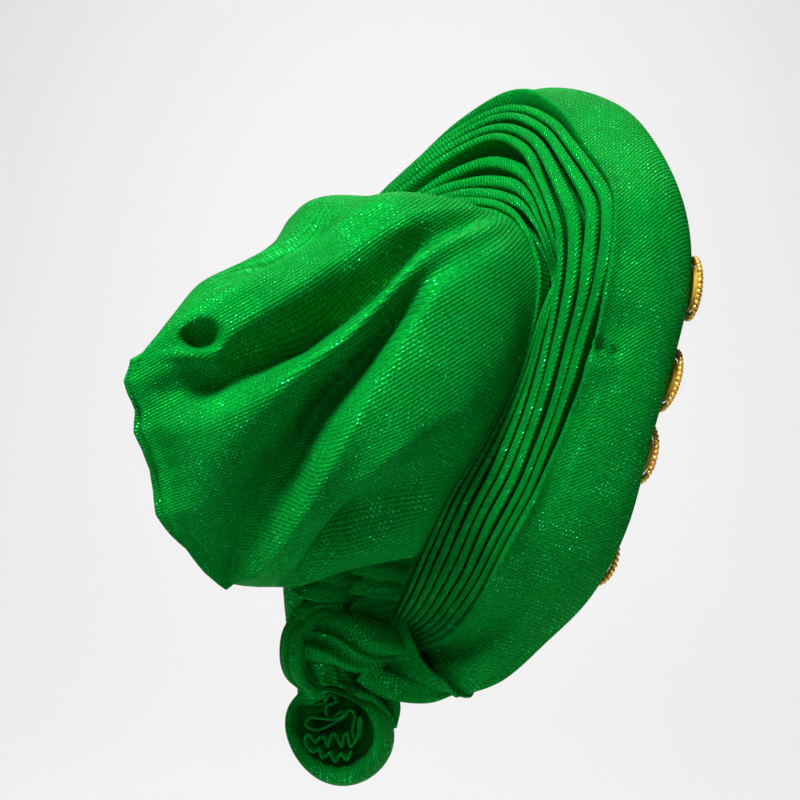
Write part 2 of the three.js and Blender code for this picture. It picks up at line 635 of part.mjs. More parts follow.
const alongArch = (count, section) => ringsGeometry(range(count + 1).map((i) => section(i / count)));
add("brim_band", alongArch(BAND_STEPS, bandSection), brocade);
PLEATS.forEach((row, k) => add(`pleat_${k + 1}`, alongArch(PLEAT_STEPS, (t) => pleatSection(row, t)), brocade));
add("crown_bag", bagGeometry(), brocade);
const knotRoom = knotSolid(GAP);
add("knot", toGeometry(knotSolid(0)), brocade);
add("cuff_right", cuffGeometry(-1, knotRoom), brocade);
add("cuff_left", cuffGeometry(1, knotRoom), brocade);
add("tail_roll", rolledTail(knotRoom), brocade);
add("tail_ruffle", ruffleGeometry(), brocade);
add("tail_short", shortTail(knotRoom), brocade);
[...ORNAMENT_PLACES, ...ORNAMENT_PLACES.map((t) => 1 - t)].forEach((t, k) => {
  const { centre, normal } = ornamentPlace(t);
  add(`medallion_${k + 1}`, turned(DOME, DOME_AROUND, normal, centre), yellowCloth);
  add(`braid_${k + 1}`, turned(BRAID, BRAID_AROUND, normal, centre), goldBraid);
});

export default group;
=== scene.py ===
# A tied gele head tie of green brocade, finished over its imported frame.
# Metres, +Z up. As worn, its front faces -Y and its right side is at -X. The origin is the crown point.
import math

import bmesh
import bpy
import numpy as np
from mathutils import Matrix, Vector


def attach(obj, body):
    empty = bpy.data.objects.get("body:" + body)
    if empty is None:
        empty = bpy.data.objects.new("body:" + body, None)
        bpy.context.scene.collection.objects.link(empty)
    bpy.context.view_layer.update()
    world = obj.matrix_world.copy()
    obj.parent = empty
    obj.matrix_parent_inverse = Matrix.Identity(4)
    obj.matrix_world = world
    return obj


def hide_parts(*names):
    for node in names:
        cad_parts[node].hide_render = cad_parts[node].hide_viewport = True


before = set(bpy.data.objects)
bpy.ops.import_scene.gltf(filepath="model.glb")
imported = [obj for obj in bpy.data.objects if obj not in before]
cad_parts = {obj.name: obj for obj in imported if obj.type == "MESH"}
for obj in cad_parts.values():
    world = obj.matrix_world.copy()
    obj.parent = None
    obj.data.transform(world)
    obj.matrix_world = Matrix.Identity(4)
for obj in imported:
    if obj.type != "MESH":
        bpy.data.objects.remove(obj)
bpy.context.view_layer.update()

# Camera
# It looks from behind and from the right, a little above the middle of the head tie. The lens is long, so
# that near and far parts keep their sizes.
VIEW_TURN = math.radians(230)
VIEW_RISE = math.radians(8)
VIEW_DISTANCE = 1.3
VIEW_CENTRE = Vector((0.0376, 0.0448, -0.118))
VIEW_LENS = 90
VIEW_SENSOR = 36
VIEW_FAR = 20
towards_camera = Vector((math.sin(VIEW_TURN), -math.cos(VIEW_TURN), math.tan(VIEW_RISE))).normalized()
camera_data = bpy.data.cameras.new("camera")
camera_data.lens = VIEW_LENS
camera_data.sensor_width = VIEW_SENSOR
camera_data.clip_end = VIEW_FAR
camera = bpy.data.objects.new("camera", camera_data)
camera.location = VIEW_CENTRE + VIEW_DISTANCE * towards_camera
camera.rotation_euler = (-towards_camera).to_track_quat("-Z", "Y").to_euler()
bpy.context.collection.objects.link(camera)
bpy.context.scene.camera = camera
bpy.context.scene.view_settings.view_transform = "Standard"

# Floor and light
# A seamless sweep of pale paper lies under the piece and curves up behind it. A soft lamp stands high on the
# camera's left, a broad weak one low on the same side, and a third lights the paper.
FLOOR_HEIGHT = -0.75
SWEEP_HALF = 5.0
SWEEP_BEND = 2.4  # from the piece to the start of the paper's curve
SWEEP_ROUND = 1.2
LIT_PAPER = 3.4  # from the piece to the lit part of the paper
LIT_HEIGHT = 0.3
PALE_PAPER = (0.7, 0.7, 0.7)
SURROUND = 0.04

sweep_mesh = bmesh.new()
bmesh.ops.create_grid(sweep_mesh, x_segments=4, y_segments=60, size=SWEEP_HALF)
for vert in sweep_mesh.verts:
    past = vert.co.y - SWEEP_BEND
    if past > 0:
        angle = min(past / SWEEP_ROUND, math.pi / 2)
        rise = max(0, past - SWEEP_ROUND * math.pi / 2)
        vert.co.y = SWEEP_BEND + SWEEP_ROUND * math.sin(angle)
        vert.co.z = SWEEP_ROUND * (1 - math.cos(angle)) + 2 * rise
    for face in vert.link_faces:
        face.smooth = True
turn_to_camera = Matrix.Rotation(VIEW_TURN, 3, "Z")
bmesh.ops.rotate(sweep_mesh, verts=sweep_mesh.verts, cent=(0, 0, 0), matrix=turn_to_camera)
bmesh.ops.translate(sweep_mesh, verts=sweep_mesh.verts, vec=(0, 0, FLOOR_HEIGHT))
sweep_data = bpy.data.meshes.new("paper_sweep")
sweep_mesh.to_mesh(sweep_data)
sweep_mesh.free()
sweep = bpy.data.objects.new("paper_sweep", sweep_data)
bpy.context.collection.objects.link(sweep)
pale_paper = bpy.data.materials.new("pale paper")
pale_paper.use_nodes = True
paper_shader = pale_paper.node_tree.nodes["Principled BSDF"]
paper_shader.inputs["Base Color"].default_value = (*PALE_PAPER, 1)
paper_shader.inputs["Roughness"].default_value = 0.9
paper_shader.inputs["Specular IOR Level"].default_value = 0.1
sweep_data.materials.append(pale_paper)

world = bpy.data.worlds.new("studio")
world.use_nodes = True
world.node_tree.nodes["Background"].inputs["Color"].default_value = (1, 1, 1, 1)
world.node_tree.nodes["Background"].inputs["Strength"].default_value = SURROUND
bpy.context.scene.world = world


def lamp(name, turn, rise, distance, size, power, aim=VIEW_CENTRE):
    """A square soft lamp that looks at its aim from a turn and rise in degrees."""
    data = bpy.data.lights.new(name, "AREA")
    data.shape = "SQUARE"
    data.size = size
    data.energy = power
    turn, rise = math.radians(turn), math.radians(rise)
    away = Vector((math.sin(turn) * math.cos(rise), -math.cos(turn) * math.cos(rise), math.sin(rise)))
    made = bpy.data.objects.new(name, data)
    made.location = aim + distance * away
    made.rotation_euler = (-away).to_track_quat("-Z", "Y").to_euler()
    bpy.context.collection.objects.link(made)


lamp("key lamp", turn=204, rise=60, distance=1.6, size=0.4, power=54)
lamp("fill lamp", turn=215, rise=10, distance=2.2, size=1.2, power=6)
behind = -Vector((math.sin(VIEW_TURN), -math.cos(VIEW_TURN), 0))
paper_middle = LIT_PAPER * behind + Vector((0, 0, LIT_HEIGHT))
lamp("paper lamp", turn=230, rise=62, distance=2.6, size=2.0, power=110, aim=paper_middle)

# Brim band
# The halo brim is one length of lined brocade. It starts at the edge of the front opening, swells outwards,
# rolls over the outer edge and runs back over the side to a rolled back edge by the first pleat.
FRONT_EDGE = [  # half width, back and height of each place, from the nape to the arch's top
    (0.025, 0.059, -0.273), (0.042, 0.052, -0.262), (0.056, 0.042, -0.238), (0.066, 0.030, -0.208),
    (0.073, 0.020, -0.175), (0.079, 0.005, -0.140), (0.080, -0.015, -0.108), (0.074, -0.038, -0.084),
    (0.064, -0.058, -0.070), (0.046, -0.076, -0.062), (0.024, -0.088, -0.058), (0.000, -0.092, -0.056),
]
RIM = [
    (0.045, 0.067, -0.296), (0.066, 0.047, -0.284), (0.085, 0.028, -0.259), (0.113, 0.016, -0.225),
    (0.134, 0.008, -0.180), (0.146, 0.002, -0.126), (0.153, -0.010, -0.075), (0.154, -0.021, -0.030),
    (0.142, -0.028, 0.010), (0.111, -0.037, 0.046), (0.062, -0.055, 0.071), (0.000, -0.069, 0.079),
]
FOLD = [
    (0.030, 0.090, -0.262), (0.050, 0.080, -0.251), (0.076, 0.077, -0.224), (0.100, 0.075, -0.187),
    (0.118, 0.064, -0.147), (0.129, 0.053, -0.110), (0.135, 0.042, -0.070), (0.137, 0.033, -0.027),
    (0.122, 0.020, 0.009), (0.092, 0.005, 0.038), (0.050, -0.012, 0.068), (0.000, -0.024, 0.080),
]
SEAM = [
    (0.028, 0.106, -0.240), (0.042, 0.106, -0.219), (0.058, 0.103, -0.191), (0.074, 0.095, -0.161),
    (0.085, 0.079, -0.134), (0.092, 0.065, -0.107), (0.097, 0.053, -0.076), (0.098, 0.045, -0.041),
    (0.091, 0.042, -0.013), (0.072, 0.039, 0.005), (0.042, 0.034, 0.015), (0.000, 0.029, 0.019),
]
ARCH_MIDDLE = (0, 0, -0.118)
LEFT_DRAWN_IN = 0.09
LEFT_LEAN = 0.011
LEFT_DROP = 0.012
# The band's rolled edge wanders: place along the arch, and its share of the way over the pleats.
EDGE_SHIFT = [
    (0.0, 0.0), (0.14, 0.0), (0.17, 0.01), (0.20, 0.05), (0.23, 0.06), (0.26, 0.02), (0.28, 0.0),
    (0.31, 0.0), (0.34, -0.09), (0.37, -0.17), (0.385, -0.155), (0.40, -0.12), (0.415, -0.07),
    (0.43, -0.03), (0.46, 0.0), (0.5, 0.02),
]
RIM_ROUND = 0.009
FACE_PUFF = 0.009
BAND_PUFF = 0.004
LINED_CLOTH = 0.0016
BAND_STEPS = 420
BAND_SPANS = (8, 8, 8, 6, 6, 12, 12, 6, 6, 6)  # rows of cloth between the section's points
BAND_WEAVE_TURN = 20  # degrees
BAND_RUFFLE = 0.0009


def unit(vectors):
    return vectors / np.linalg.norm(vectors, axis=-1, keepdims=True)


def ease(x, low, high):
    x = np.clip((np.asarray(x, float) - low) / (high - low), 0, 1)
    return x * x * (3 - 2 * x)


def smooth_line(points, at, evenness=0.0):
    """Places on the smooth line through points at shares from 0 to 1. The points' rows lie on the second last
    axis. Evenness 0.5 keeps the line from swinging out where long and short steps meet."""
    points = np.asarray(points, float)
    last = points.shape[-2] - 1
    place = np.clip(np.asarray(at, float), 0, 1) * last
    low = np.minimum(place.astype(int), last - 1)
    share = (place - low)[..., None]
    step = np.diff(points, axis=-2)
    length = np.linalg.norm(step, axis=-1, keepdims=True) ** evenness
    slope = step / np.maximum(length, 1e-9)
    before, after = length[..., :-1, :], length[..., 1:, :]
    inner = (slope[..., :-1, :] * after + slope[..., 1:, :] * before) / (before + after)
    slopes = np.concatenate([slope[..., :1, :], inner, slope[..., -1:, :]], axis=-2)
    start, end = np.take(points, low, axis=-2), np.take(points, low + 1, axis=-2)
    span = np.take(length, low, axis=-2)
    leave, arrive = np.take(slopes, low, axis=-2) * span, np.take(slopes, low + 1, axis=-2) * span
    bend = 3 * (end - start) - 2 * leave - arrive
    turn = 2 * (start - end) + leave + arrive
    return start + leave * share + bend * share**2 + turn * share**3


def arch_line(rows, drawn_in=0.0, lean=0.0, drop=0.0):
    """A line over the arch from the right end to the left one, which is drawn in, leans and sits lower."""
    half, back, height = np.array(rows).T
    right = np.stack([-half, back, height], axis=1)
    lower = drop * np.sin(math.pi * np.linspace(1, 0, len(rows)) ** 0.6)
    left = np.stack([half * (1 - drawn_in), back - lean * half / half.max(), height - lower], axis=1)
    return np.concatenate([right, left[-2::-1]])


FRONT_LINE = arch_line(FRONT_EDGE)
RIM_LINE = arch_line(RIM, LEFT_DRAWN_IN, LEFT_LEAN, LEFT_DROP)
FOLD_LINE = arch_line(FOLD, LEFT_DRAWN_IN, LEFT_LEAN, LEFT_DROP)
SEAM_LINE = arch_line(SEAM, drop=0.7 * LEFT_DROP)


def strip_normal(a, b, towards):
    """The normals of the strip between two lines, on the side of a direction."""
    along = np.gradient((a + b) / 2, axis=0)
    normal = unit(np.cross(along, b - a))
    return normal * np.sign((normal * towards).sum(-1, keepdims=True))


class Arch:
    """The four lines of the brim at places t along the arch, with the directions out of its faces."""

    def __init__(self, t):
        self.t = np.asarray(t, float)
        lines = (FRONT_LINE, RIM_LINE, FOLD_LINE, SEAM_LINE)
        self.front, self.rim, self.fold, self.seam = (smooth_line(line, self.t) for line in lines)
        fine = np.linspace(0, 1, 401)
        front, rim, fold, seam = (smooth_line(line, fine) for line in lines)
        outwards = (fold - ARCH_MIDDLE) * (1, 0.3, 1)
        self.face_out = self.between(fine, strip_normal(front, rim, np.array((0, -1, 0))))
        self.band_out = self.between(fine, strip_normal(rim, fold, outwards))
        self.pleat_out = self.between(fine, strip_normal(fold, seam, np.array((0, 1, 0.4))))
        self.to_seam = unit(self.seam - self.fold)
        self.width = np.linalg.norm(self.seam - self.fold, axis=-1, keepdims=True)
        self.top = ease(1 - abs(2 * self.t - 1), 0.6, 0.97)[:, None]
        self.body = ease(np.minimum(self.t, 1 - self.t), 0, 0.09)[:, None]

    def between(self, fine, directions):
        return np.stack([np.interp(self.t, fine, directions[:, k]) for k in range(3)], axis=1)


def band_section(arch):
    """The band's section at each place: its points from the front edge to the foot of the rolled back edge."""
    shift = np.interp(np.minimum(arch.t, 1 - arch.t), *np.array(EDGE_SHIFT).T)[:, None]
    h, r, f = arch.front, arch.rim, arch.fold + shift * (arch.seam - arch.fold)
    to_front, to_fold = unit(h - r), unit(f - r)
    rounding = np.minimum(RIM_ROUND, 0.25 * np.linalg.norm(f - r, axis=-1, keepdims=True))
    puff = 0.3 + 0.7 * arch.body
    roll = np.clip(0.055 * arch.width, 0.0018, 0.0046)
    leg = 0.011 * (0.65 + 0.35 * arch.body)
    return np.stack([
        h,
        h + 0.3 * (r - h) + 0.75 * FACE_PUFF * puff * arch.face_out,
        h + 0.62 * (r - h) + FACE_PUFF * puff * arch.face_out,
        r + rounding * to_front + 0.3 * rounding * arch.face_out,
        r + 0.1 * rounding * (to_front + to_fold),
        r + rounding * to_fold + 0.3 * rounding * arch.band_out,
        (r + f) / 2 + BAND_PUFF * puff * arch.band_out,
        f - 2 * roll * to_fold + 0.5 * roll * arch.band_out,
        f + 0.9 * roll * arch.pleat_out,
        f + 0.9 * roll * arch.to_seam,
        f + 0.9 * roll * arch.to_seam + 0.06 * arch.width * arch.to_seam - leg * arch.pleat_out,
    ], axis=1)


def spans(counts):
    """Shares along a line whose span number i is cut into counts[i] steps."""
    cuts = [(i + k / n) / len(counts) for i, n in enumerate(counts) for k in range(n)]
    return np.array(cuts + [1.0])


def surface_normals(places):
    """The normals of a grid of places, away from the middle of each row."""
    normal = unit(np.cross(np.gradient(places, axis=0), np.gradient(places, axis=1)) + 1e-15)
    away = places - places.mean(axis=1, keepdims=True)
    return normal if (normal * away).sum() > 0 else -normal


def waves(seed, count, a, b, low, high):
    """Gentle irregular waves between -1 and 1 over two measures of the cloth, with frequencies from low to
    high."""
    chance = np.random.default_rng(seed)
    total = 0
    for _ in range(count):
        turn = chance.uniform(0, 2 * math.pi)
        size = chance.uniform(low, high)
        start = chance.uniform(0, 6.3)
        total = total + np.sin(size * (math.cos(turn) * a + math.sin(turn) * b) + start)
    return total / count


def cloth_sheet(name, places, thickness, material, looped=False, weave_turn=0, start_row=0, weave=None):
    """A sheet of cloth on a grid of places, with its weave laid out in metres on the UV map named cloth.
    A looped sheet's last column meets its first. The weave is turned by a number of degrees."""
    rows, columns = places.shape[:2]
    sheet = bmesh.new()
    bmesh.ops.create_grid(sheet, x_segments=columns - 1, y_segments=rows - 1, size=0.5, calc_uvs=True)
    uv = sheet.loops.layers.uv.verify()
    across = np.linalg.norm(np.diff(places, axis=1, prepend=places[:, :1]), axis=-1).cumsum(axis=1)
    across -= across[:, columns // 2, None]
    along = np.linalg.norm(np.diff(places, axis=0, prepend=places[:1]), axis=-1).cumsum(axis=0)
    along -= along[start_row]
    if weave is not None:
        across, along = weave
    turn = math.radians(weave_turn)
    weave_x = across * math.cos(turn) - along * math.sin(turn)
    weave_y = across * math.sin(turn) + along * math.cos(turn)
    for face in sheet.faces:
        for loop in face.loops:
            j = round((loop.vert.co.x + 0.5) * (columns - 1))
            i = round((loop.vert.co.y + 0.5) * (rows - 1))
            loop[uv].uv = (weave_x[i, j], weave_y[i, j])
    for vert in sheet.verts:
        j = round((vert.co.x + 0.5) * (columns - 1))
        i = round((vert.co.y + 0.5) * (rows - 1))
        vert.co = places[i, j]
    steps = np.cross(places[:-1, 1:] - places[:-1, :-1], places[1:, :-1] - places[:-1, :-1])
    away = places[:-1, :-1] - places[:-1].mean(axis=1, keepdims=True)
    if (steps * away).sum() < 0:
        bmesh.ops.reverse_faces(sheet, faces=sheet.faces)
    if looped:
        bmesh.ops.remove_doubles(sheet, verts=sheet.verts, dist=1e-6)
    return cloth_piece(name, sheet, thickness, material)


def cloth_piece(name, sheet, thickness, material):
    """The piece made from a bmesh, smooth, with the cloth's thickness to its inner side."""
    for face in sheet.faces:
        face.smooth = True
    data = bpy.data.meshes.new(name)
    sheet.to_mesh(data)
    sheet.free()
    data.uv_layers[0].name = "cloth"
    data.materials.append(material)
    piece = bpy.data.objects.new(name, data)
    bpy.context.collection.objects.link(piece)
    wall = piece.modifiers.new("thickness", "SOLIDIFY")
    wall.thickness = thickness
    wall.offset = -1
    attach(piece, "root")
    return piece


def node(tree, kind, inputs=None, **settings):
    """A new node with its settings, and its inputs set or, where one is another node's output, linked."""
    made = tree.nodes.new(kind)
    for key, value in settings.items():
        setattr(made, key, value)
    for key, value in (inputs or {}).items():
        if isinstance(value, bpy.types.NodeSocket):
            tree.links.new(value, made.inputs[key])
        else:
            made.inputs[key].default_value = value
    return made


def mix(tree, factor, a, b):
    """The output of a colour mix, whose ends are colours or outputs."""
    made = tree.nodes.new("ShaderNodeMix")
    made.data_type = "RGBA"
    for place, value in ((0, factor), (6, a), (7, b)):
        if isinstance(value, bpy.types.NodeSocket):
            tree.links.new(value, made.inputs[place])
        else:
            made.inputs[place].default_value = value if place == 0 else (*value, 1)
    return made.outputs[2]


def number(tree, operation, *values):
    """The output of a Math node."""
    made = tree.nodes.new("ShaderNodeMath")
    made.operation = operation
    for place, value in enumerate(values):
        if isinstance(value, bpy.types.NodeSocket):
            tree.links.new(value, made.inputs[place])
        else:
            made.inputs[place].default_value = value
    return made.outputs[0]


def ramp(tree, value, low, high):
    """A smooth step of a value from 0 at low to 1 at high."""
    made = node(tree, "ShaderNodeMapRange", {"Value": value, "From Min": low, "From Max": high},
                interpolation_type="SMOOTHSTEP")
    return made.outputs["Result"]


LEAF_GREEN = (0.0016, 0.34, 0.03)
SHADE_GREEN = (0.0005, 0.07, 0.006)
# the metal thread's spot colour: partly its own colour, partly a painted glint that lightens the spots even in
# shade
THREAD_AND_PAINTED_GLINT = (0.03, 0.95, 0.3)
RIB = 0.0024  # from rib to rib
GRAIN_LONG = 1.5  # millimetres, as the brick pattern is scaled up a thousand times
GRAIN_ROW = 1.2
GRAIN = 0.0009
GLINT_CELL = 0.0026
GLINT_TURN = math.radians(45)
BUMP_HIGH = 0.0006


def brocade():
    """Green brocade: ribs of two staggered rows of floats, an uneven grain, and a metal thread whose spots on
    a regular lattice are lighter here and there: partly the thread's own colour, partly a painted glint."""
    material = bpy.data.materials.new("green brocade")
    material.use_nodes = True
    tree = material.node_tree
    shader = tree.nodes["Principled BSDF"]
    weave = node(tree, "ShaderNodeUVMap", uv_map="cloth").outputs["UV"]
    place = node(tree, "ShaderNodeTexCoord").outputs["Object"]
    floats = node(tree, "ShaderNodeTexBrick", {
        "Vector": weave, "Scale": 1000, "Brick Width": GRAIN_LONG, "Row Height": GRAIN_ROW,
        "Mortar Size": 0.22, "Mortar Smooth": 0.9,
    }, offset=0.5)
    raised = number(tree, "SUBTRACT", 1.0, floats.outputs["Fac"])
    ribs = node(tree, "ShaderNodeTexWave", {
        "Vector": weave, "Scale": math.pi / (10 * RIB), "Distortion": 0.6, "Detail Scale": 0.4,
    }, wave_type="BANDS", bands_direction="Y").outputs["Fac"]
    grain = node(tree, "ShaderNodeTexVoronoi", {"Vector": weave, "Scale": 1 / GRAIN},
                 voronoi_dimensions="2D")
    uneven = node(tree, "ShaderNodeSeparateColor", {"Color": grain.outputs["Color"]}).outputs[0]
    cloudy = node(tree, "ShaderNodeTexNoise", {"Vector": place, "Scale": 34, "Detail": 3}).outputs["Fac"]
    lattice = node(tree, "ShaderNodeMapping", {
        "Vector": weave, "Rotation": (0, 0, GLINT_TURN), "Scale": (GLINT_CELL, GLINT_CELL, GLINT_CELL),
    }, vector_type="TEXTURE").outputs[0]
    cells = node(tree, "ShaderNodeTexVoronoi", {"Vector": lattice, "Scale": 1.0, "Randomness": 0.3},
                 voronoi_dimensions="2D")
    spot = number(tree, "SUBTRACT", 1.0, ramp(tree, cells.outputs["Distance"], 0.08, 0.3))
    chance = node(tree, "ShaderNodeSeparateColor", {"Color": cells.outputs["Color"]}).outputs[0]
    crowd = node(tree, "ShaderNodeTexNoise", {"Vector": place, "Scale": 60, "Detail": 1}).outputs["Fac"]
    # Which spots carry the strongest painted glint, in random clusters.
    bright = number(tree, "MULTIPLY", number(tree, "POWER", chance, 4.0), ramp(tree, crowd, 0.35, 0.65))
    glint = number(tree, "MULTIPLY", spot, number(tree, "ADD", 0.1, bright))
    ridge = number(tree, "ADD", 0.25, number(tree, "MULTIPLY", ribs, 0.75))
    plump = number(tree, "ADD", 0.45, number(tree, "MULTIPLY", raised, 0.55))
    weft = number(tree, "MULTIPLY", ridge, plump)
    tone = number(tree, "ADD", number(tree, "MULTIPLY", weft, 0.7), number(tree, "MULTIPLY", uneven, 0.5))
    body = mix(tree, tone, SHADE_GREEN, LEAF_GREEN)
    body = mix(tree, number(tree, "MULTIPLY", ramp(tree, cloudy, 0.4, 0.7), 0.25), body, SHADE_GREEN)
    # The spots are painted lighter in the base colour: partly the metal thread, partly a painted glint.
    tree.links.new(mix(tree, glint, body, THREAD_AND_PAINTED_GLINT), shader.inputs["Base Color"])
    tree.links.new(number(tree, "ADD", 0.3, glint), shader.inputs["Metallic"])
    rough = number(tree, "SUBTRACT", 0.55, number(tree, "MULTIPLY", spot, 0.25))
    tree.links.new(rough, shader.inputs["Roughness"])
    weft_high, grain_high = number(tree, "MULTIPLY", weft, 0.8), number(tree, "MULTIPLY", uneven, 0.35)
    height = number(tree, "ADD", weft_high, grain_high)
    bump = node(tree, "ShaderNodeBump", {"Height": height, "Distance": BUMP_HIGH, "Strength": 1.0})
    tree.links.new(bump.outputs[0], shader.inputs["Normal"])
    shader.inputs["Specular IOR Level"].default_value = 0.0
    return material


GREEN_BROCADE = brocade()

brim = Arch(np.linspace(0, 1, BAND_STEPS + 1))
band_places = smooth_line(band_section(brim), spans(BAND_SPANS), evenness=0.5)
band_across = spans(BAND_SPANS)[None, :]
band_t = brim.t[:, None]

# The brim's end is gathered, and one long crease runs between its two lobes. The crease starts at the cuff.
CREASE_PLACE = 0.66
CREASE_LENGTH = 0.15
CREASE_DEPTH = 0.009
CREASE_HALF = 0.035
for end_t in (band_t, 1 - band_t):
    deep = CREASE_DEPTH * (1 - ease(end_t, 0.02, CREASE_LENGTH))
    off = (band_across - CREASE_PLACE + 0.25 * end_t) / CREASE_HALF
    band_places = band_places - (deep * np.exp(-(off**2)))[..., None] * surface_normals(band_places)
# A stitch draws the band in at the side, with a short crease behind it and a shallow hollow above.
STITCH_DENTS = [  # place along the arch and across the band, depth and half width
    ((0.2714, 0.655), 0.0035, 0.0035), ((0.2740, 0.69), 0.0025, 0.0035), ((0.2762, 0.73), 0.0022, 0.0035),
    ((0.287, 0.64), 0.003, 0.014), ((0.262, 0.69), -0.0015, 0.008),
]
for (place_t, place_across), deep, half in STITCH_DENTS:
    row, column = round(place_t * BAND_STEPS), abs(spans(BAND_SPANS) - place_across).argmin()
    distance = np.linalg.norm(band_places - band_places[row, column], axis=-1)
    dent = deep * np.exp(-((distance / half) ** 2))
    band_places = band_places - dent[..., None] * surface_normals(band_places)
ruffle = BAND_RUFFLE * waves(3, 9, 60 * band_t, 14 * band_across, 0.5, 1.2)
ruffle = ruffle * ease(band_across, 0.0, 0.1)
band_places = band_places + ruffle[..., None] * surface_normals(band_places)

band = cloth_sheet("brim_band_cloth", band_places, LINED_CLOTH, GREEN_BROCADE,
                   weave_turn=BAND_WEAVE_TURN, start_row=BAND_STEPS // 2)
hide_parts("brim_band")

# Pleats
# Eight doubled folds of one unlined layer step down from the brim to the crown, four outer ones and four
# that sit lower at the top. The cloth runs on from the foot of each fold to the next, and is stitched there.
PLEAT_STATIONS = (
    0.0, 0.05, 0.10, 0.14, 0.17, 0.20, 0.23, 0.26, 0.28, 0.31, 0.34, 0.37, 0.40, 0.43, 0.46, 0.49, 0.52)
PLEATS = [  # each crest's share of the way from the fold to the seam at the stations
    (0.10, 0.11, 0.12, 0.13, 0.14, 0.20, 0.23, 0.24, 0.25, 0.16, 0.03, -0.05, 0.03, 0.12, 0.15, 0.18, 0.19),
    (0.21, 0.22, 0.23, 0.25, 0.27, 0.33, 0.37, 0.42, 0.43, 0.36, 0.30, 0.18, 0.22, 0.26, 0.25, 0.265, 0.28),
    (0.32, 0.33, 0.35, 0.41, 0.44, 0.52, 0.58, 0.63, 0.65, 0.62, 0.55, 0.47, 0.46, 0.43, 0.37, 0.37, 0.38),
    (0.43, 0.45, 0.49, 0.57, 0.61, 0.68, 0.74, 0.81, 0.84, 0.84, 0.78, 0.72, 0.67, 0.60, 0.49, 0.46, 0.46),
    (0.55, 0.57, 0.63, 0.70, 0.76, 0.84, 0.91, 0.97, 0.98, 0.95, 0.90, 0.86, 0.80, 0.72, 0.64, 0.64, 0.65),
    (0.67, 0.69, 0.77, 0.86, 0.93, 0.99, 1.02, 1.05, 1.06, 1.02, 0.98, 0.93, 0.90, 0.82, 0.78, 0.82, 0.83),
    (0.79, 0.82, 0.90, 0.98, 1.05, 1.10, 1.12, 1.13, 1.13, 1.07, 1.03, 0.99, 0.96, 0.92, 0.92, 0.95, 0.96),
    (0.91, 0.94, 1.00, 1.08, 1.13, 1.18, 1.20, 1.20, 1.19, 1.15, 1.12, 1.14, 1.10, 1.05, 1.03, 1.07, 1.08),
    (1.00, 1.02, 1.08, 1.15, 1.20, 1.25, 1.27, 1.27, 1.26, 1.22, 1.20, 1.22, 1.18, 1.14, 1.12, 1.16, 1.17),
]
PLEAT_SINK = (0.0, 0.0, 0.001, 0.002, 0.010, 0.011, 0.010, 0.006, 0.006)  # at the arch's top
HOLE_PLACE = 0.34  # the fifth, sixth and seventh pleats dive into a hole here
HOLE_HALF = 0.022
HOLE_DEEP = 0.011
PLEAT_CLOTH = 0.0011
UNDER_BAND = 0.004
PLEAT_LEG = 0.013
PLEAT_FULL = 0.43  # a crest's half width, as a share of the step to its nearer neighbour
PLEAT_LEAST = 0.001
PLEAT_MOST = 0.0046
PLEAT_AROUND = 26
PLEAT_WEAVE_TURN = 35  # degrees
PLEAT_SWAY = 0.0007
PLEAT_SWELL = 0.0008


def pleat_share(arch, row):
    """A crest's course, evened out along the arch."""
    fine = np.linspace(0, 1, 801)
    share = np.interp(np.minimum(fine, 1 - fine), PLEAT_STATIONS, PLEATS[row])
    even = np.hanning(23) / np.hanning(23).sum()
    share = np.convolve(np.pad(share, 11, mode="edge"), even, mode="valid")
    return np.interp(arch.t, fine, share)[:, None]


def pleat_places(arch, k):
    """The cloth of one pleat: up a leg, round the crest, down the other leg and on to the next one's foot."""
    t = arch.t[:, None]
    near_hole = np.exp(-(((np.minimum(t, 1 - t) - HOLE_PLACE) / HOLE_HALF) ** 2))

    def middle(row):
        sway = PLEAT_SWAY * arch.body * waves(21, 5, 60 * t, 0.35 * row, 0.3, 1.0)
        swell = PLEAT_SWELL * arch.body * waves(31 + row, 5, 90 * t, 0 * t, 0.3, 1.0)
        sink = PLEAT_SINK[row] * arch.top + HOLE_DEEP * near_hole * (row in (4, 5, 6))
        point = arch.fold + pleat_share(arch, row) * (arch.seam - arch.fold) + sway * arch.to_seam
        return point + (swell - sink) * arch.pleat_out

    def half_width(row):
        step = pleat_share(arch, row + 1) - pleat_share(arch, row)
        if row > 0:
            step = np.minimum(step, pleat_share(arch, row) - pleat_share(arch, row - 1))
        return np.clip(PLEAT_FULL * step * arch.width, PLEAT_LEAST, PLEAT_MOST)

    radius = half_width(k)
    leg = PLEAT_LEG * (0.5 + 0.5 * arch.body)
    side = np.array([-0.7, -0.74, -0.9, -1, -0.78, 0, 0.78, 1, 0.9, 0.74, 0.7])
    down = np.array([1, 0.55, 0.2, 0, 0, 0, 0, 0, 0.2, 0.55, 1])
    crown = np.array([0, 0, 0, 0.1, 0.7, 1, 0.7, 0.1, 0, 0, 0])
    across = (radius * side)[..., None] * arch.to_seam[:, None]
    out = (radius * crown - leg * down)[..., None] * arch.pleat_out[:, None]
    rough = middle(k)[:, None] + across + out
    foot = middle(k + 1) - 0.7 * half_width(min(k + 1, 7)) * arch.to_seam - leg * arch.pleat_out
    places = smooth_line(rough, np.linspace(0, 1, PLEAT_AROUND + 1), evenness=0.5)
    if k > 0:
        return np.concatenate([places, foot[:, None]], axis=1)
    # The first pleat's cloth starts under the band's rolled edge.
    start = band_section(arch)[:, -1] - UNDER_BAND * arch.to_seam
    return np.concatenate([start[:, None], places, foot[:, None]], axis=1)


for k in range(len(PLEATS) - 1):
    places = pleat_places(brim, k)
    pleat = cloth_sheet(f"pleat_cloth_{k + 1}", places, PLEAT_CLOTH, GREEN_BROCADE,
                        weave_turn=PLEAT_WEAVE_TURN, start_row=BAND_STEPS // 2)
    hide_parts(f"pleat_{k + 1}")

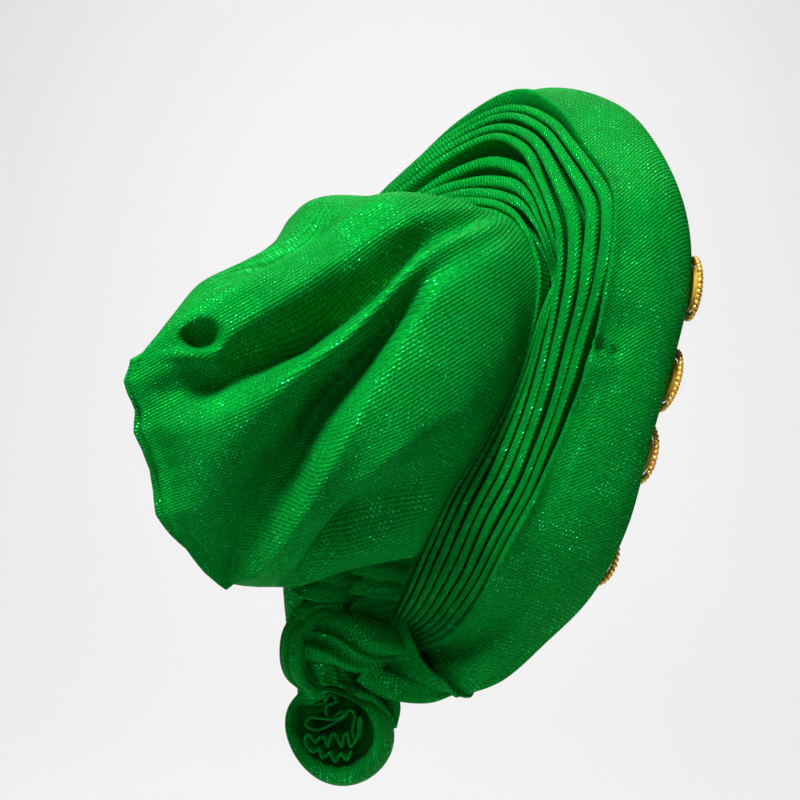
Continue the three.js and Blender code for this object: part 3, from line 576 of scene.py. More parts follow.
# Crown bag
# The bag covers the crown and hangs back to a closed rear edge. It is one piece of brocade, caught under the
# last pleat, and its folds fan out from there to the rear, where the edge rolls over a deep pocket.
BAG = [  # top back and height, bottom back and height, half width, and the reach of the sides
    (0.040, 0.019, 0.108, -0.200, 0.097, 0.000), (0.076, 0.020, 0.118, -0.203, 0.099, 0.004),
    (0.112, 0.018, 0.132, -0.207, 0.093, 0.008), (0.144, -0.004, 0.148, -0.211, 0.081, 0.012),
    (0.180, -0.020, 0.166, -0.214, 0.066, 0.016), (0.214, -0.031, 0.182, -0.214, 0.048, 0.014),
    (0.245, -0.051, 0.196, -0.212, 0.026, 0.016), (0.268, -0.070, 0.207, -0.209, 0.006, 0.021),
]
REAR_LIP = [  # the closed rear edge: width as a share of the bag's, and how far it stands back
    (0.9, 0.003), (0.66, 0.0052), (0.4, 0.0045), (0.22, 0.001), (0.1, -0.005), (0.03, -0.010),
    (0.0, -0.012),
]
REAR_OUT = np.array((0, 0.916, -0.402))
REAR_EDGE = [  # place round the bag from the bottom, and how far the wavy edge stands out or in
    (0.0, 0.0), (0.09, -0.001), (0.14, -0.003), (0.174, 0.0), (0.205, 0.0015), (0.234, -0.003),
    (0.26, -0.005), (0.29, -0.003), (0.32, 0.001), (0.35, -0.001), (0.385, 0.003), (0.42, 0.005),
    (0.45, 0.002), (0.5, 0.0),
]
BAG_END = 0.05
# The mouth follows the last pleat and leaves it above the arch's ends: places round the bag, on the arch.
MOUTH_COURSE = [(0.0, 0.085), (0.25, 0.25), (0.75, 0.75), (1.0, 0.915)]
MOUTH_LAP = 0.0035
BAG_LEG = 0.013
BAG_TUCK = 0.006  # how far the bag starts below the last pleat
BAG_AROUND = 320
BAG_ALONG = 140
SIDE_MIDDLE = np.array((0.0, 0.135, -0.115))
BAG_HALF = 0.099
BAG_ROUND = 0.11
WEAVE_TURN = math.radians(24)  # of the ribs on the bag's sides, up towards the front
# The folds run from the mouth to the rear. Each course is a crest, shoulder or valley, from the top of the
# right side down: place along the bag, place round it, and height.
BAG_FOLDS = [
    [(0.0, 0.5, 0.0), (0.35, 0.5, 0.0), (0.45, 0.5, -0.005), (0.55, 0.5, -0.008), (0.65, 0.5, -0.005),
     (0.8, 0.5, 0.0)],
    [(0.0, 0.470, 0.0), (0.1, 0.455, 0.003), (0.2, 0.442, 0.006), (0.3, 0.442, 0.007), (0.4, 0.462, 0.004),
     (0.5, 0.466, 0.003), (0.6, 0.456, 0.005), (0.7, 0.438, 0.006), (0.78, 0.430, 0.003), (0.9, 0.45, 0.0),
     (1.0, 0.45, 0.0)],
    [(0.0, 0.458, 0.0), (0.1, 0.442, 0.002), (0.2, 0.424, 0.004), (0.3, 0.416, 0.005), (0.4, 0.424, 0.003),
     (0.5, 0.424, 0.003), (0.6, 0.413, 0.004), (0.7, 0.402, 0.003), (0.8, 0.390, 0.002), (1.0, 0.41, 0.0)],
    [(0.0, 0.449, 0.0), (0.1, 0.430, -0.004), (0.2, 0.412, -0.008), (0.3, 0.402, -0.019), (0.4, 0.392, -0.028),
     (0.5, 0.382, -0.035), (0.58, 0.362, -0.035), (0.7, 0.342, -0.028), (0.8, 0.336, -0.018),
     (0.9, 0.348, -0.006), (1.0, 0.37, -0.001)],
    [(0.0, 0.432, 0.0), (0.1, 0.408, 0.002), (0.2, 0.389, 0.004), (0.3, 0.371, 0.005), (0.4, 0.354, 0.008),
     (0.5, 0.336, 0.009), (0.6, 0.325, 0.008), (0.7, 0.307, 0.008), (0.84, 0.292, 0.005), (1.0, 0.30, 0.0)],
    [(0.0, 0.415, 0.0), (0.2, 0.376, 0.001), (0.3, 0.354, -0.003), (0.4, 0.332, -0.017), (0.45, 0.318, -0.023),
     (0.54, 0.290, -0.031), (0.62, 0.256, -0.031), (0.73, 0.213, -0.023), (0.84, 0.143, -0.014),
     (0.96, 0.066, -0.003), (1.0, 0.05, 0.0)],
    [(0.0, 0.40, 0.001), (0.2, 0.352, 0.004), (0.3, 0.334, 0.005), (0.4, 0.306, 0.006), (0.49, 0.270, 0.006),
     (0.57, 0.225, 0.006), (0.665, 0.16, 0.004), (0.8, 0.089, 0.002), (1.0, 0.03, 0.0)],
    [(0.0, 0.25, 0.002), (0.05, 0.25, 0.004), (0.2, 0.25, 0.007), (0.4, 0.22, 0.004), (0.5, 0.195, 0.001),
     (0.6, 0.150, 0.0), (0.7, 0.10, 0.0), (0.8, 0.05, 0.0), (1.0, 0.015, 0.0)],
    [(0.0, 0.165, -0.001), (0.1, 0.158, -0.003), (0.3, 0.15, -0.015), (0.45, 0.146, -0.022),
     (0.5, 0.138, -0.022), (0.56, 0.115, -0.013), (0.62, 0.08, -0.004), (0.7, 0.04, 0.0), (1.0, 0.01, 0.0)],
    [(0.0, 0.10, 0.0), (0.45, 0.09, 0.002), (0.56, 0.05, 0.002), (0.7, 0.02, 0.0), (1.0, 0.005, 0.0)],
    [(0.0, 0.0, 0.0), (1.0, 0.0, 0.0)],
]
LEFT_FOLDS = 0.8
SOFT_ROWS = 4
BAG_WAVE = 0.0009
MOUTH_GATHER = 0.0011
# The rear pocket is an oval hollow with a fat lip below it. Its middle is given round and along the bag.
POCKET = (0.416, 0.822)
POCKET_LEFT = (9.7, 17.2)  # its own two directions, by the way round the bag and along it
POCKET_ABOVE = (32.2, -16.8)
POCKET_DEEP = 0.017
POCKET_LIP = 0.005


def bag_loops(u, v):
    """The smooth bag. Its u runs round from the bottom up the right side, and v from the mouth to the rear."""
    top_back, top_height, low_back, low_height, half, reach = smooth_line(BAG, v).T[..., None]
    rise = (1 - np.cos(2 * math.pi * u)) / 2
    x = -half * np.sin(2 * math.pi * u)
    y = low_back + (top_back - low_back) * rise + reach * np.sin(math.pi * rise**0.75)
    z = low_height + (top_height - low_height) * rise
    return np.stack(np.broadcast_arrays(x, y, z), axis=-1)


def bag_mouth(u):
    """The mouth's line under the last pleat, closed straight across below the ends of the arch."""
    arch = Arch(np.interp((u - BAG_END) / (1 - 2 * BAG_END), *np.array(MOUTH_COURSE).T))
    line = arch.fold + pleat_share(arch, len(PLEATS) - 1) * (arch.seam - arch.fold)
    line -= MOUTH_LAP * arch.body * arch.to_seam
    line[:, 0] *= np.minimum(1, np.minimum(u, 1 - u) / BAG_END)
    return line, arch


def bag_smooth(u, v):
    mouth, _ = bag_mouth(u)
    loops = bag_loops(u, v)
    to_mouth = mouth - bag_loops(u, np.array([0.0]))[0]
    return loops + (1 - ease(v, 0, 0.45))[:, None, None] * to_mouth


def fold_lift(u, v):
    """How far the folds push out each place of the bag. The left side repeats the right one more softly."""
    right = np.minimum(u, 1 - u)
    lift = np.zeros((len(v), len(u)))
    courses = [
        [np.interp(v, np.array(course)[:, 0], np.array(course)[:, n])[:, None] for n in (1, 2)]
        for course in BAG_FOLDS
    ]
    for (u_high, high), (u_low, low) in zip(courses, courses[1:]):
        inside = (right <= u_high) & (right >= u_low)
        part = low + (high - low) * ease((right - u_low) / (u_high - u_low), 0, 1)
        lift = np.where(inside, part, lift)
    return lift * np.where(u > 0.5, LEFT_FOLDS, 1)


def soften(lift, rows):
    """The lift, evened out along the bag over a number of rows."""
    padded = np.pad(lift, ((rows, rows), (0, 0)), mode="edge")
    weight = np.hanning(2 * rows + 3)[1:-1]
    weight = weight / weight.sum()
    return sum(w * padded[k:k + len(lift)] for k, w in enumerate(weight))


def pocket_lift(u, v):
    """The hollow and lip of the rear pocket."""
    around, along = u[None, :] - POCKET[0], v[:, None] - POCKET[1]
    left = POCKET_LEFT[0] * around + POCKET_LEFT[1] * along
    above = POCKET_ABOVE[0] * around + POCKET_ABOVE[1] * along
    hollow = -POCKET_DEEP * (1 - ease(np.hypot(left, above), 0.35, 1.2))
    lip = POCKET_LIP * np.exp(-(((above + 1.45) / 0.4) ** 2) - (left / 1.6) ** 2)
    return hollow + lip


bag_u = np.linspace(0, 1, BAG_AROUND + 1)
bag_v = np.linspace(0, 1, BAG_ALONG + 1)
bag_plain = bag_smooth(bag_u, bag_v)
lift = soften(fold_lift(bag_u, bag_v), SOFT_ROWS) + pocket_lift(bag_u, bag_v)
lift += BAG_WAVE * waves(11, 8, 16 * bag_u[None, :], 9 * bag_v[:, None], 0.6, 1.6)
gathers = MOUTH_GATHER * waves(14, 6, 60 * bag_u[None, :], 7 * bag_v[:, None], 0.7, 1.3)
lift += gathers * ease(1 - bag_v, 0.3, 0.9)[:, None]
lift *= ease(bag_v, 0, 0.1)[:, None]
bag_shape = bag_plain + lift[..., None] * surface_normals(bag_plain)
edge_out = np.interp(np.minimum(bag_u, 1 - bag_u), *np.array(REAR_EDGE).T)
bag_shape += (ease(bag_v, 0.86, 1.0)[:, None] * edge_out)[..., None] * REAR_OUT
rear = bag_shape[-1]
lips = [rear * (width, 1, 1) + back * REAR_OUT for width, back in REAR_LIP]
mouth, mouth_arch = bag_mouth(bag_u)
tuck = BAG_TUCK * mouth_arch.body * mouth_arch.pleat_out
bag_shape -= (1 - ease(bag_v, 0, 0.11))[:, None, None] * tuck
mouth = mouth - tuck
inwards = BAG_LEG * (0.3 + 0.7 * mouth_arch.body) * mouth_arch.pleat_out
legs = [mouth - depth * inwards for depth in (1, 0.66, 0.33)]
bag_places = np.concatenate([np.stack(legs), bag_shape, np.stack(lips)])
# The weave lies straight over each side and is measured from the side's middle.
out = bag_places - SIDE_MIDDLE
radius = np.hypot(out[..., 1], out[..., 2])
chord = np.sqrt(radius**2 + (BAG_HALF - abs(out[..., 0])) ** 2)
reach = 2 * BAG_ROUND * np.arcsin(np.minimum(1, chord / (2 * BAG_ROUND))) / np.maximum(radius, 1e-6)
forward, rise = -out[..., 1] * reach, out[..., 2] * reach
weave = (forward * math.cos(WEAVE_TURN) + rise * math.sin(WEAVE_TURN),
         rise * math.cos(WEAVE_TURN) - forward * math.sin(WEAVE_TURN))
bag = cloth_sheet("crown_bag_cloth", bag_places, LINED_CLOTH, GREEN_BROCADE, looped=True, weave=weave)
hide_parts("crown_bag")

# Cuffs
# Both ends of the brim are gathered and bound in a flat cuff of the same cloth, several layers thick, which
# leads to the knot. Its free edge shows as a fine turned line over the ends of the pleats.
CUFF_CLOTH = 0.0022
CUFF_END = {"side": 0.013, "back": 0.113, "height": -0.262, "tall": 0.018, "wide": 0.009}
CUFF_MOUTH_WIDE = 0.0215
CUFF_LONG = 0.99
CUFF_OVER = 0.12  # how far the mouth's ends reach back over the brim, as a share of the cuff
CUFF_EDGE = [  # the mouth's edge: place from top to bottom, and how far it is drawn towards the knot
    (0.0, 0.0), (0.12, 0.06), (0.28, 0.13), (0.41, 0.22), (0.52, 0.20), (0.62, 0.10), (0.70, 0.08),
    (0.83, 0.13), (0.93, 0.08), (1.0, 0.02),
]
CUFF_BOXY = 0.85  # below 1 its section is fuller at the corners than an oval
CUFF_INWARDS = 0.010
CUFF_BACK = 0.004
CUFF_LOWER = 0.04
CUFF_RIBS = 0.0008
CUFF_TURNED_EDGE = 0.0013
CUFF_AROUND = 120
CUFF_ALONG = 60
CUFF_CREASES = [  # turn round the cuff in degrees at the mouth and at the knot, depth, half width in degrees
    (100, 60, 0.004, 9), (128, 105, 0.006, 10), (70, 20, 0.002, 8), (290, 250, 0.004, 14),
]


def cuff_places(side):
    ends = Arch(np.array([0.0, 0.02, 0.98, 1.0]))
    pick = 0 if side < 0 else 3
    seam_end, rim_end, front_end = ends.seam[pick], ends.rim[pick], ends.front[pick]
    middle = (seam_end + rim_end) / 2
    mouth_long = (seam_end - rim_end) / 2
    knot_end = np.array((side * CUFF_END["side"], CUFF_END["back"], CUFF_END["height"]))
    short = unit(np.cross(mouth_long, knot_end - middle))
    short = short * np.sign(short @ (front_end - middle))
    away = unit(np.cross(short, mouth_long))
    away = away * np.sign(away @ (knot_end - middle))
    start = middle + CUFF_INWARDS * short - CUFF_BACK * away - CUFF_LOWER * mouth_long
    angle = np.linspace(0, 2 * math.pi, CUFF_AROUND + 1)[None, :, None]
    drawn = np.interp((1 - np.cos(angle)) / 2, *np.array(CUFF_EDGE).T) - CUFF_OVER
    share = drawn + (1 - drawn) * np.linspace(0, 1, CUFF_ALONG + 1)[:, None, None]
    centre = start + share * (knot_end - start)
    long = (1 - share) * CUFF_LONG * mouth_long + share * np.array((0, 0.003, CUFF_END["tall"]))
    half = CUFF_MOUTH_WIDE + share * (CUFF_END["wide"] - CUFF_MOUTH_WIDE)

    def boxy(x):
        return np.sign(x) * abs(x) ** CUFF_BOXY

    places = centre + long * boxy(np.cos(angle)) + half * boxy(np.sin(angle)) * short
    normals = surface_normals(places)
    lift = 0
    turned = np.degrees(angle[..., 0])
    for start_turn, end_turn, depth, wide in CUFF_CREASES:
        line = start_turn + (end_turn - start_turn) * share[..., 0]
        off = (turned - line + 180) % 360 - 180
        lift = lift - depth * np.exp(-((off / wide) ** 2)) * ease(share[..., 0], 0.0, 0.3)
    lift = lift + CUFF_RIBS * np.sin(12 * angle[..., 0] + 2 * share[..., 0]) * ease(share[..., 0], 0.2, 1)
    edge = CUFF_TURNED_EDGE * (1 - ease(share[..., 0] - drawn[..., 0], 0.0, 0.07))
    return places + (lift + edge)[..., None] * normals


for side, name in ((-1, "cuff_right"), (1, "cuff_left")):
    cuff = cloth_sheet(f"{name}_cloth", cuff_places(side), CUFF_CLOTH, GREEN_BROCADE, looped=True)
    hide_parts(name)

# Knot
# Both ends meet at the nape and are tied. One end wraps over the other in a fat roll with lapped folds, a
# loop stands at its left, and a stalk of gathered cloth runs up under the bag. A low strip leads to the brim.
KNOT_MIDDLE = np.array((0.0, 0.140, -0.255))
KNOT_RIGHT = np.array((-0.643, -0.766, 0.0))
KNOT_OUT = np.array((-0.766, 0.643, 0.0))
WRAP = [  # right of, above and out from the knot's middle, and the half sizes upright and across
    (-0.018, 0.001, -0.004, 0.010, 0.007), (-0.008, 0.002, 0.003, 0.0145, 0.012),
    (0.010, 0.003, 0.007, 0.0180, 0.015), (0.026, -0.001, 0.007, 0.0190, 0.015),
    (0.040, -0.003, 0.002, 0.015, 0.012), (0.050, -0.005, -0.007, 0.010, 0.007),
]
SIDE_LOOP = [
    (0.014, 0.0205, 0.001, 0.003, 0.004), (-0.003, 0.0185, 0.008, 0.0055, 0.007),
    (-0.0140, 0.0095, 0.0105, 0.0085, 0.008), (-0.0165, -0.004, 0.012, 0.0095, 0.0085),
    (-0.0145, -0.018, 0.009, 0.0085, 0.008), (-0.004, -0.031, 0.001, 0.006, 0.006),
]
KNOT_CORE = [
    (-0.008, 0.004, -0.010, 0.010, 0.010), (0.003, -0.014, -0.006, 0.021, 0.012),
    (0.010, -0.031, -0.014, 0.028, 0.009),
]
LOW_STRIP = [
    (0.0257, -0.0170, 0.005, 0.0080, 0.004), (0.0395, -0.0260, 0.004, 0.0085, 0.0045),
    (0.0518, -0.0310, 0.000, 0.0080, 0.0045), (0.0680, -0.0355, -0.008, 0.0065, 0.004),
    (0.0819, -0.0350, -0.016, 0.0040, 0.003),
]
STALK = [
    (-0.013, -0.002, -0.006, 0.009, 0.010), (-0.0145, 0.016, -0.002, 0.0085, 0.011),
    (-0.0145, 0.030, 0.000, 0.009, 0.012), (-0.012, 0.055, 0.000, 0.012, 0.015),
]


def beside(rows):
    """The rows with their places moved from the knot's own directions to the frame."""
    rows = np.array(rows)
    middle = KNOT_MIDDLE + rows[:, :1] * KNOT_RIGHT + rows[:, 1:2] * (0, 0, 1) + rows[:, 2:3] * KNOT_OUT
    return np.hstack([middle, rows[:, 3:]])


WOUND_CLOTH = 0.0018
KNOT_WEAVE_TURN = 20  # degrees
WOUND_AROUND = 132
WOUND_ALONG = 96
WOUND_RIPPLE = 0.0004


def wound(rows, creases, upright, seed):
    """Cloth wound to an oval roll along a line. Creases are given as their turn in degrees at the start and
    at the end, their depth and their half width in degrees."""
    rows = np.array(rows)
    along = np.linspace(0, 1, WOUND_ALONG + 1)
    line = smooth_line(rows[:, :3], along, evenness=0.5)
    size = smooth_line(rows[:, 3:], along)
    tangent = unit(np.gradient(line, axis=0))
    tall = np.zeros_like(line)
    last = np.array(upright, float)
    for i, direction in enumerate(tangent):
        last = unit(last - (last @ direction) * direction)
        tall[i] = last
    flat = np.cross(tangent, tall)
    angle = np.linspace(0, 2 * math.pi, WOUND_AROUND + 1)[None, :]
    share = along[:, None]
    lift = WOUND_RIPPLE * waves(seed, 7, 3 * np.cos(angle), 9 * share + 3 * np.sin(angle), 0.5, 1.6)
    for start, end, depth, half in creases:
        off = (np.degrees(angle) - start - (end - start) * share + 180) % 360 - 180
        # A crease is steep on one side, where the next fold laps over it.
        lapped = np.where(off > 0, np.exp(-((off / half) ** 2)), np.exp(-((off / (3.2 * half)) ** 2)))
        lift = lift - depth * lapped * ease(share, 0.0, 0.12) * (1 - ease(share, 0.88, 1.0))
    wide, broad = size[:, 0, None] + lift, size[:, 1, None] + lift
    return (line[:, None] + (wide * np.cos(angle))[..., None] * tall[:, None]
            + (broad * np.sin(angle))[..., None] * flat[:, None])


WRAP_CREASES = [(45, 190, 0.0065, 8), (5, 150, 0.0055, 8), (60, 50, 0.001, 14), (200, 150, 0.003, 12)]
LOOP_CREASES = [(60, 75, 0.003, 12), (125, 110, 0.002, 12), (-20, -30, 0.002, 12)]
STRIP_CREASES = [(75, 90, 0.0012, 16)]
STALK_CREASES = [(a, a + 25, 0.003, 10) for a in (20, 75, 140, 200, 255, 320)]
KNOT_PARTS = [
    ("knot_wrap", WRAP, WRAP_CREASES, (0, 0, 1), 3, (0.095, 0.08)),
    ("knot_loop", SIDE_LOOP, LOOP_CREASES, KNOT_RIGHT, 4, (0.046, 0.08)),
    ("knot_stalk", STALK, STALK_CREASES, KNOT_RIGHT, 5, (0.07, 0.065)),
    ("knot_core", KNOT_CORE, STALK_CREASES, KNOT_RIGHT, 6, (0.095, 0.045)),
    ("knot_strip", LOW_STRIP, STRIP_CREASES, (0, 0, 1), 7, (0.066, 0.042)),
]
for name, rows, creases, upright, seed, flat in KNOT_PARTS:
    places = wound(beside(rows), creases, upright, seed)
    part = cloth_sheet(name, places, WOUND_CLOTH, GREEN_BROCADE, looped=True, weave_turn=KNOT_WEAVE_TURN)
    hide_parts("knot")

# Nape folds
# Loose brocade closes the nape between the lower ends of the pleats, from behind the knot up into the bag. It
# lies in slack folds across, with a deep hollow next to the stalk.
NAPE_HIGH = 0.14  # along the arch
NAPE_ROWS = 90
NAPE_COLUMNS = 140
NAPE_PROUD = 0.053
NAPE_DEEP = 0.010  # how far its sides lie below the last pleat
NAPE_SKIRT = 0.018  # its plain lower end, behind the knot
NAPE_EDGE = 0.98  # of the way to the bag's mouth
FOLD_STEP = 0.013
FOLD_PROUD = 0.0055
FOLD_SLOPE = 0.3
FOLD_WANDER = 0.0035
HOLLOW = (0.008, 0.008, 0.022)  # right of the knot's middle, half width and depth
nape = Arch(np.linspace(0, NAPE_HIGH, NAPE_ROWS + 1))
nape_edges = [
    arch.fold + NAPE_EDGE * pleat_share(arch, len(PLEATS) - 1) * (arch.seam - arch.fold)
    - NAPE_DEEP * (0.5 + 0.5 * arch.body) * arch.pleat_out for arch in (nape, Arch(1 - nape.t))
]
share = np.linspace(0, 1, NAPE_COLUMNS + 1)[None, :, None]
places = nape_edges[0][:, None] * (1 - share) + nape_edges[1][:, None] * share
places = places + NAPE_PROUD * np.sin(math.pi * share) ** 1.3 * np.array((0, 1.0, 0))
right, above = (places - KNOT_MIDDLE) @ KNOT_RIGHT, places[..., 2] - KNOT_MIDDLE[2]
wander = FOLD_WANDER * waves(41, 5, 90 * right, 60 * above, 0.6, 1.3)
phase = 2 * math.pi * (above + FOLD_SLOPE * right + wander) / FOLD_STEP
from_sides = 1 - abs(2 * share[..., 0] - 1)
out = FOLD_PROUD * (np.sin(phase) + 0.35 * np.sin(2 * phase + 0.8)) * ease(from_sides, 0, 0.2)
out = out - HOLLOW[2] * np.exp(-(((right - HOLLOW[0]) / HOLLOW[1]) ** 2))
places = places + out[..., None] * (0, 1.0, 0)
skirt = places[:1] - NAPE_SKIRT * np.linspace(1, 0, 10, endpoint=False)[:, None, None] * (0, 0.1, 1.0)
places = np.concatenate([skirt, places])
folds = cloth_sheet("nape_folds", places, WOUND_CLOTH, GREEN_BROCADE, weave_turn=KNOT_WEAVE_TURN)
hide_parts("crown_bag")

# Rolled tail
# The long end of the tie hangs from the knot as a rolled cornet whose mouth faces back. Its lip is turned in
# and the cloth's raw end is packed inside as a ruffle on edge.
CUP_CENTRE = np.array((-0.003, 0.130, -0.316))
CUP_RADIUS = 0.033
CUP_TURN = math.radians(22)  # how far the mouth looks round to the left
TAIL_RINGS = [  # the centre's side, back and height, tilt to the mouth's facing, half width, half height
    (0.004, 0.131, -0.268, 0.0, 0.012, 0.013), (0.003, 0.129, -0.281, 0.12, 0.017, 0.017),
    (0.002, 0.124, -0.296, 0.4, 0.025, 0.024), (0.000, 0.120, -0.309, 0.75, 0.030, 0.029),
]
LIP_RINGS = [  # distance along the mouth's facing, radius, and share of the way to the mouth's own middle
    (-0.010, 0.99, 0.0), (-0.002, 1.01, 0.0), (0.005, 0.97, 0.2), (0.0085, 0.91, 0.5), (0.008, 0.84, 0.9),
    (0.003, 0.78, 1.0), (-0.004, 0.74, 1.0), (-0.009, 0.66, 1.0), (-0.011, 0.40, 1.0), (-0.011, 0.02, 1.0),
]
MOUTH_SHIFT = (-0.001, 0.005)  # right of and above the middle of the tail
TAIL_CLOTH = 0.0016
TAIL_AROUND = 160
TAIL_WEAVE_TURN = 15  # degrees
TAIL_CREASES = [  # turn round the tail in degrees, depth, half width in degrees
    (70, 0.003, 10), (110, 0.0035, 9), (35, 0.002, 9), (150, 0.0025, 12), (250, 0.002, 16),
]
TAIL_RIPPLE = 0.0007
RUFFLE = [  # right and up from the middle of the tail
    (-0.0124, 0.0251), (-0.0110, 0.0236), (-0.0155, 0.0203), (-0.0080, 0.0216), (-0.0053, 0.0264),
    (-0.0005, 0.0269), (0.0013, 0.0222), (-0.0057, 0.0175), (-0.0033, 0.0117), (0.0049, 0.0175),
    (0.0084, 0.0152), (0.0002, 0.0082), (-0.0127, 0.0023), (-0.0201, 0.0058), (-0.0174, 0.0111),
    (-0.0080, 0.0117), (0.0025, 0.0128), (0.0106, 0.0192), (0.0146, 0.0162), (0.0130, 0.0047),
    (0.0148, 0.0006), (0.0171, 0.0058), (0.0173, 0.0138), (0.0165, 0.0011), (0.0107, -0.0059),
    (0.0078, 0.0023), (0.0049, -0.0070), (-0.0010, 0.0011), (-0.0045, -0.0082), (-0.0086, -0.0012),
    (-0.0127, -0.0059), (-0.0179, -0.0012), (-0.0192, -0.0064), (-0.0145, -0.0111), (-0.0109, -0.0076),
    (-0.0078, -0.0141), (-0.0033, -0.0100), (0.0007, -0.0153), (0.0037, -0.0100), (0.0087, -0.0130),
    (0.0107, -0.0076),
]
RUFFLE_CLOTH = 0.0015
RUFFLE_DEEP = 0.016
RUFFLE_STEPS = 420
RUFFLE_TOP = 0.0045
RUFFLE_UNEVEN = 0.0022
RUFFLE_DRAWN_IN = 0.15
up = np.array((0, 0, 1.0))
mouth_facing = np.array((math.sin(VIEW_TURN - CUP_TURN), -math.cos(VIEW_TURN - CUP_TURN), 0))
mouth_right = np.cross(up, mouth_facing)


def tail_ring(centre, tilt, half_wide, half_tall, angle):
    """A ring round the tail whose normal turns from straight down to the mouth's facing."""
    lean = tilt * math.pi / 2
    front = math.cos(lean) * mouth_facing + math.sin(lean) * up
    return (np.array(centre) + half_wide * np.cos(angle)[:, None] * mouth_right
            + half_tall * np.sin(angle)[:, None] * front)


tail_angle = np.linspace(0, 2 * math.pi, TAIL_AROUND + 1)
rings = [tail_ring(row[:3], row[3], row[4], row[5], tail_angle) for row in TAIL_RINGS]
wobble = 1 + 0.05 * np.cos(2 * tail_angle + 0.6) + 0.03 * np.cos(3 * tail_angle - 1.0)
mouth_middle = MOUTH_SHIFT[0] * mouth_right + MOUTH_SHIFT[1] * up
for reach, width, shift in LIP_RINGS:
    middle = CUP_CENTRE + reach * mouth_facing + shift * mouth_middle
    radius = CUP_RADIUS * width * (wobble if width > 0.5 else np.ones_like(wobble))
    rings.append(middle + radius[:, None] * tail_ring((0, 0, 0), 1.0, 1.0, 1.0, tail_angle))
tail_rows = np.stack(rings, axis=1)
tail_places = smooth_line(tail_rows, spans((8,) * 3 + (10,) + (6,) * (len(LIP_RINGS) - 1)), evenness=0.5)
tail_places = tail_places.transpose(1, 0, 2)
tail_lift = 0.0
tail_share = np.linspace(0, 1, len(tail_places))[:, None]
for place, depth, half in TAIL_CREASES:
    off = (np.degrees(tail_angle)[None, :] - place - 40 * tail_share + 180) % 360 - 180
    tail_lift = tail_lift - depth * np.exp(-((off / half) ** 2)) * (1 - ease(tail_share, 0.1, 0.42))
tail_lift = tail_lift + TAIL_RIPPLE * waves(8, 8, 3 * np.cos(tail_angle)[None, :], 12 * tail_share, 0.5, 1.5)
tail_places = tail_places + tail_lift[..., None] * surface_normals(tail_places)
tail = cloth_sheet("tail_roll_cloth", tail_places, TAIL_CLOTH, GREEN_BROCADE, looped=True,
                   weave_turn=TAIL_WEAVE_TURN)
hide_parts("tail_roll")

ruffle_line = smooth_line(RUFFLE, np.linspace(0, 1, RUFFLE_STEPS + 1), evenness=0.5)
ruffle_depth = np.linspace(0, 1, 13)[:, None, None]
ruffle_along = 18 * np.linspace(0, 1, RUFFLE_STEPS + 1)
ruffle_top = RUFFLE_TOP + RUFFLE_UNEVEN * waves(9, 6, ruffle_along, 0, 0.6, 1.6)[None, :, None]
narrowing = 1 - RUFFLE_DRAWN_IN * ruffle_depth
ruffle_places = (CUP_CENTRE + ruffle_line[None, :, :1] * mouth_right * narrowing
                 + ruffle_line[None, :, 1:] * up * narrowing
                 + (ruffle_top - RUFFLE_DEEP * ruffle_depth) * mouth_facing)
ruffle_cloth = cloth_sheet("tail_ruffle_cloth", ruffle_places, RUFFLE_CLOTH, GREEN_BROCADE)
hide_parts("tail_ruffle")

# Short tail
# The other end of the tie is short and flat, and hangs behind the rolled one from under the cuffs.
SHORT_TAIL = [
    (-0.004, 0.110, -0.262, 0.004, 0.012), (-0.012, 0.104, -0.284, 0.005, 0.014),
    (-0.015, 0.100, -0.300, 0.005, 0.012), (-0.017, 0.099, -0.314, 0.003, 0.006),
]
SHORT_CREASES = [(70, 80, 0.002, 10), (110, 100, 0.002, 12)]
SHORT_WEAVE_TURN = 10  # degrees
short_places = wound(SHORT_TAIL, SHORT_CREASES, (0, 1, 0), 12)
short = cloth_sheet("tail_short_cloth", short_places, TAIL_CLOTH, GREEN_BROCADE, looped=True,
                    weave_turn=SHORT_WEAVE_TURN)
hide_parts("tail_short")

# Medallions and beaded braid
# Eight padded medallions of yellow cloth are sewn to the front of the brim, four on each side. Each is
# ringed by a braid of gilt beads, threaded close in two rounds.
MEDALLION_RADIUS = 0.0145
MEDALLION_HEIGHT = 0.007
BEAD = 0.0017
BEAD_ROUNDS = [  # how many beads, the round's radius and its height
    (34, MEDALLION_RADIUS + 0.0038, 0.0), (38, MEDALLION_RADIUS + 0.0012, 0.0012),
]
PAD_RINGS = 9  # of stitching
PAD_DIMPLE = 0.1
PAD_BACK = 0.05  # the back's height as a share of a sphere's
PAD_SINK = 0.0022
INSIDE = np.array((0, 0.12, -0.118))  # the ornaments face away from here
YELLOW = (0.78, 0.56, 0.05)
SOILED = (0.35, 0.3, 0.04)
GILT = (0.95, 0.58, 0.10)
WORN_GILT = (0.5, 0.22, 0.02)


def yellow_cloth():
    """Yellow satin stitched in close rings."""
    material = bpy.data.materials.new("yellow cloth")
    material.use_nodes = True
    tree = material.node_tree
    shader = tree.nodes["Principled BSDF"]
    place = node(tree, "ShaderNodeTexCoord").outputs["Object"]
    weave = node(tree, "ShaderNodeUVMap", uv_map="cloth").outputs["UV"]
    stitches = node(tree, "ShaderNodeTexWave", {"Vector": weave, "Scale": 260, "Distortion": 1.5},
                    wave_type="BANDS", bands_direction="X").outputs["Fac"]
    soiled = node(tree, "ShaderNodeTexNoise", {"Vector": place, "Scale": 160, "Detail": 4}).outputs["Fac"]
    body = mix(tree, stitches, tuple(0.6 * c for c in YELLOW), YELLOW)
    tree.links.new(mix(tree, ramp(tree, soiled, 0.45, 0.7), body, SOILED), shader.inputs["Base Color"])
    bump = node(tree, "ShaderNodeBump", {"Height": stitches, "Distance": 0.0003, "Strength": 0.7})
    tree.links.new(bump.outputs[0], shader.inputs["Normal"])
    shader.inputs["Roughness"].default_value = 0.5
    return material


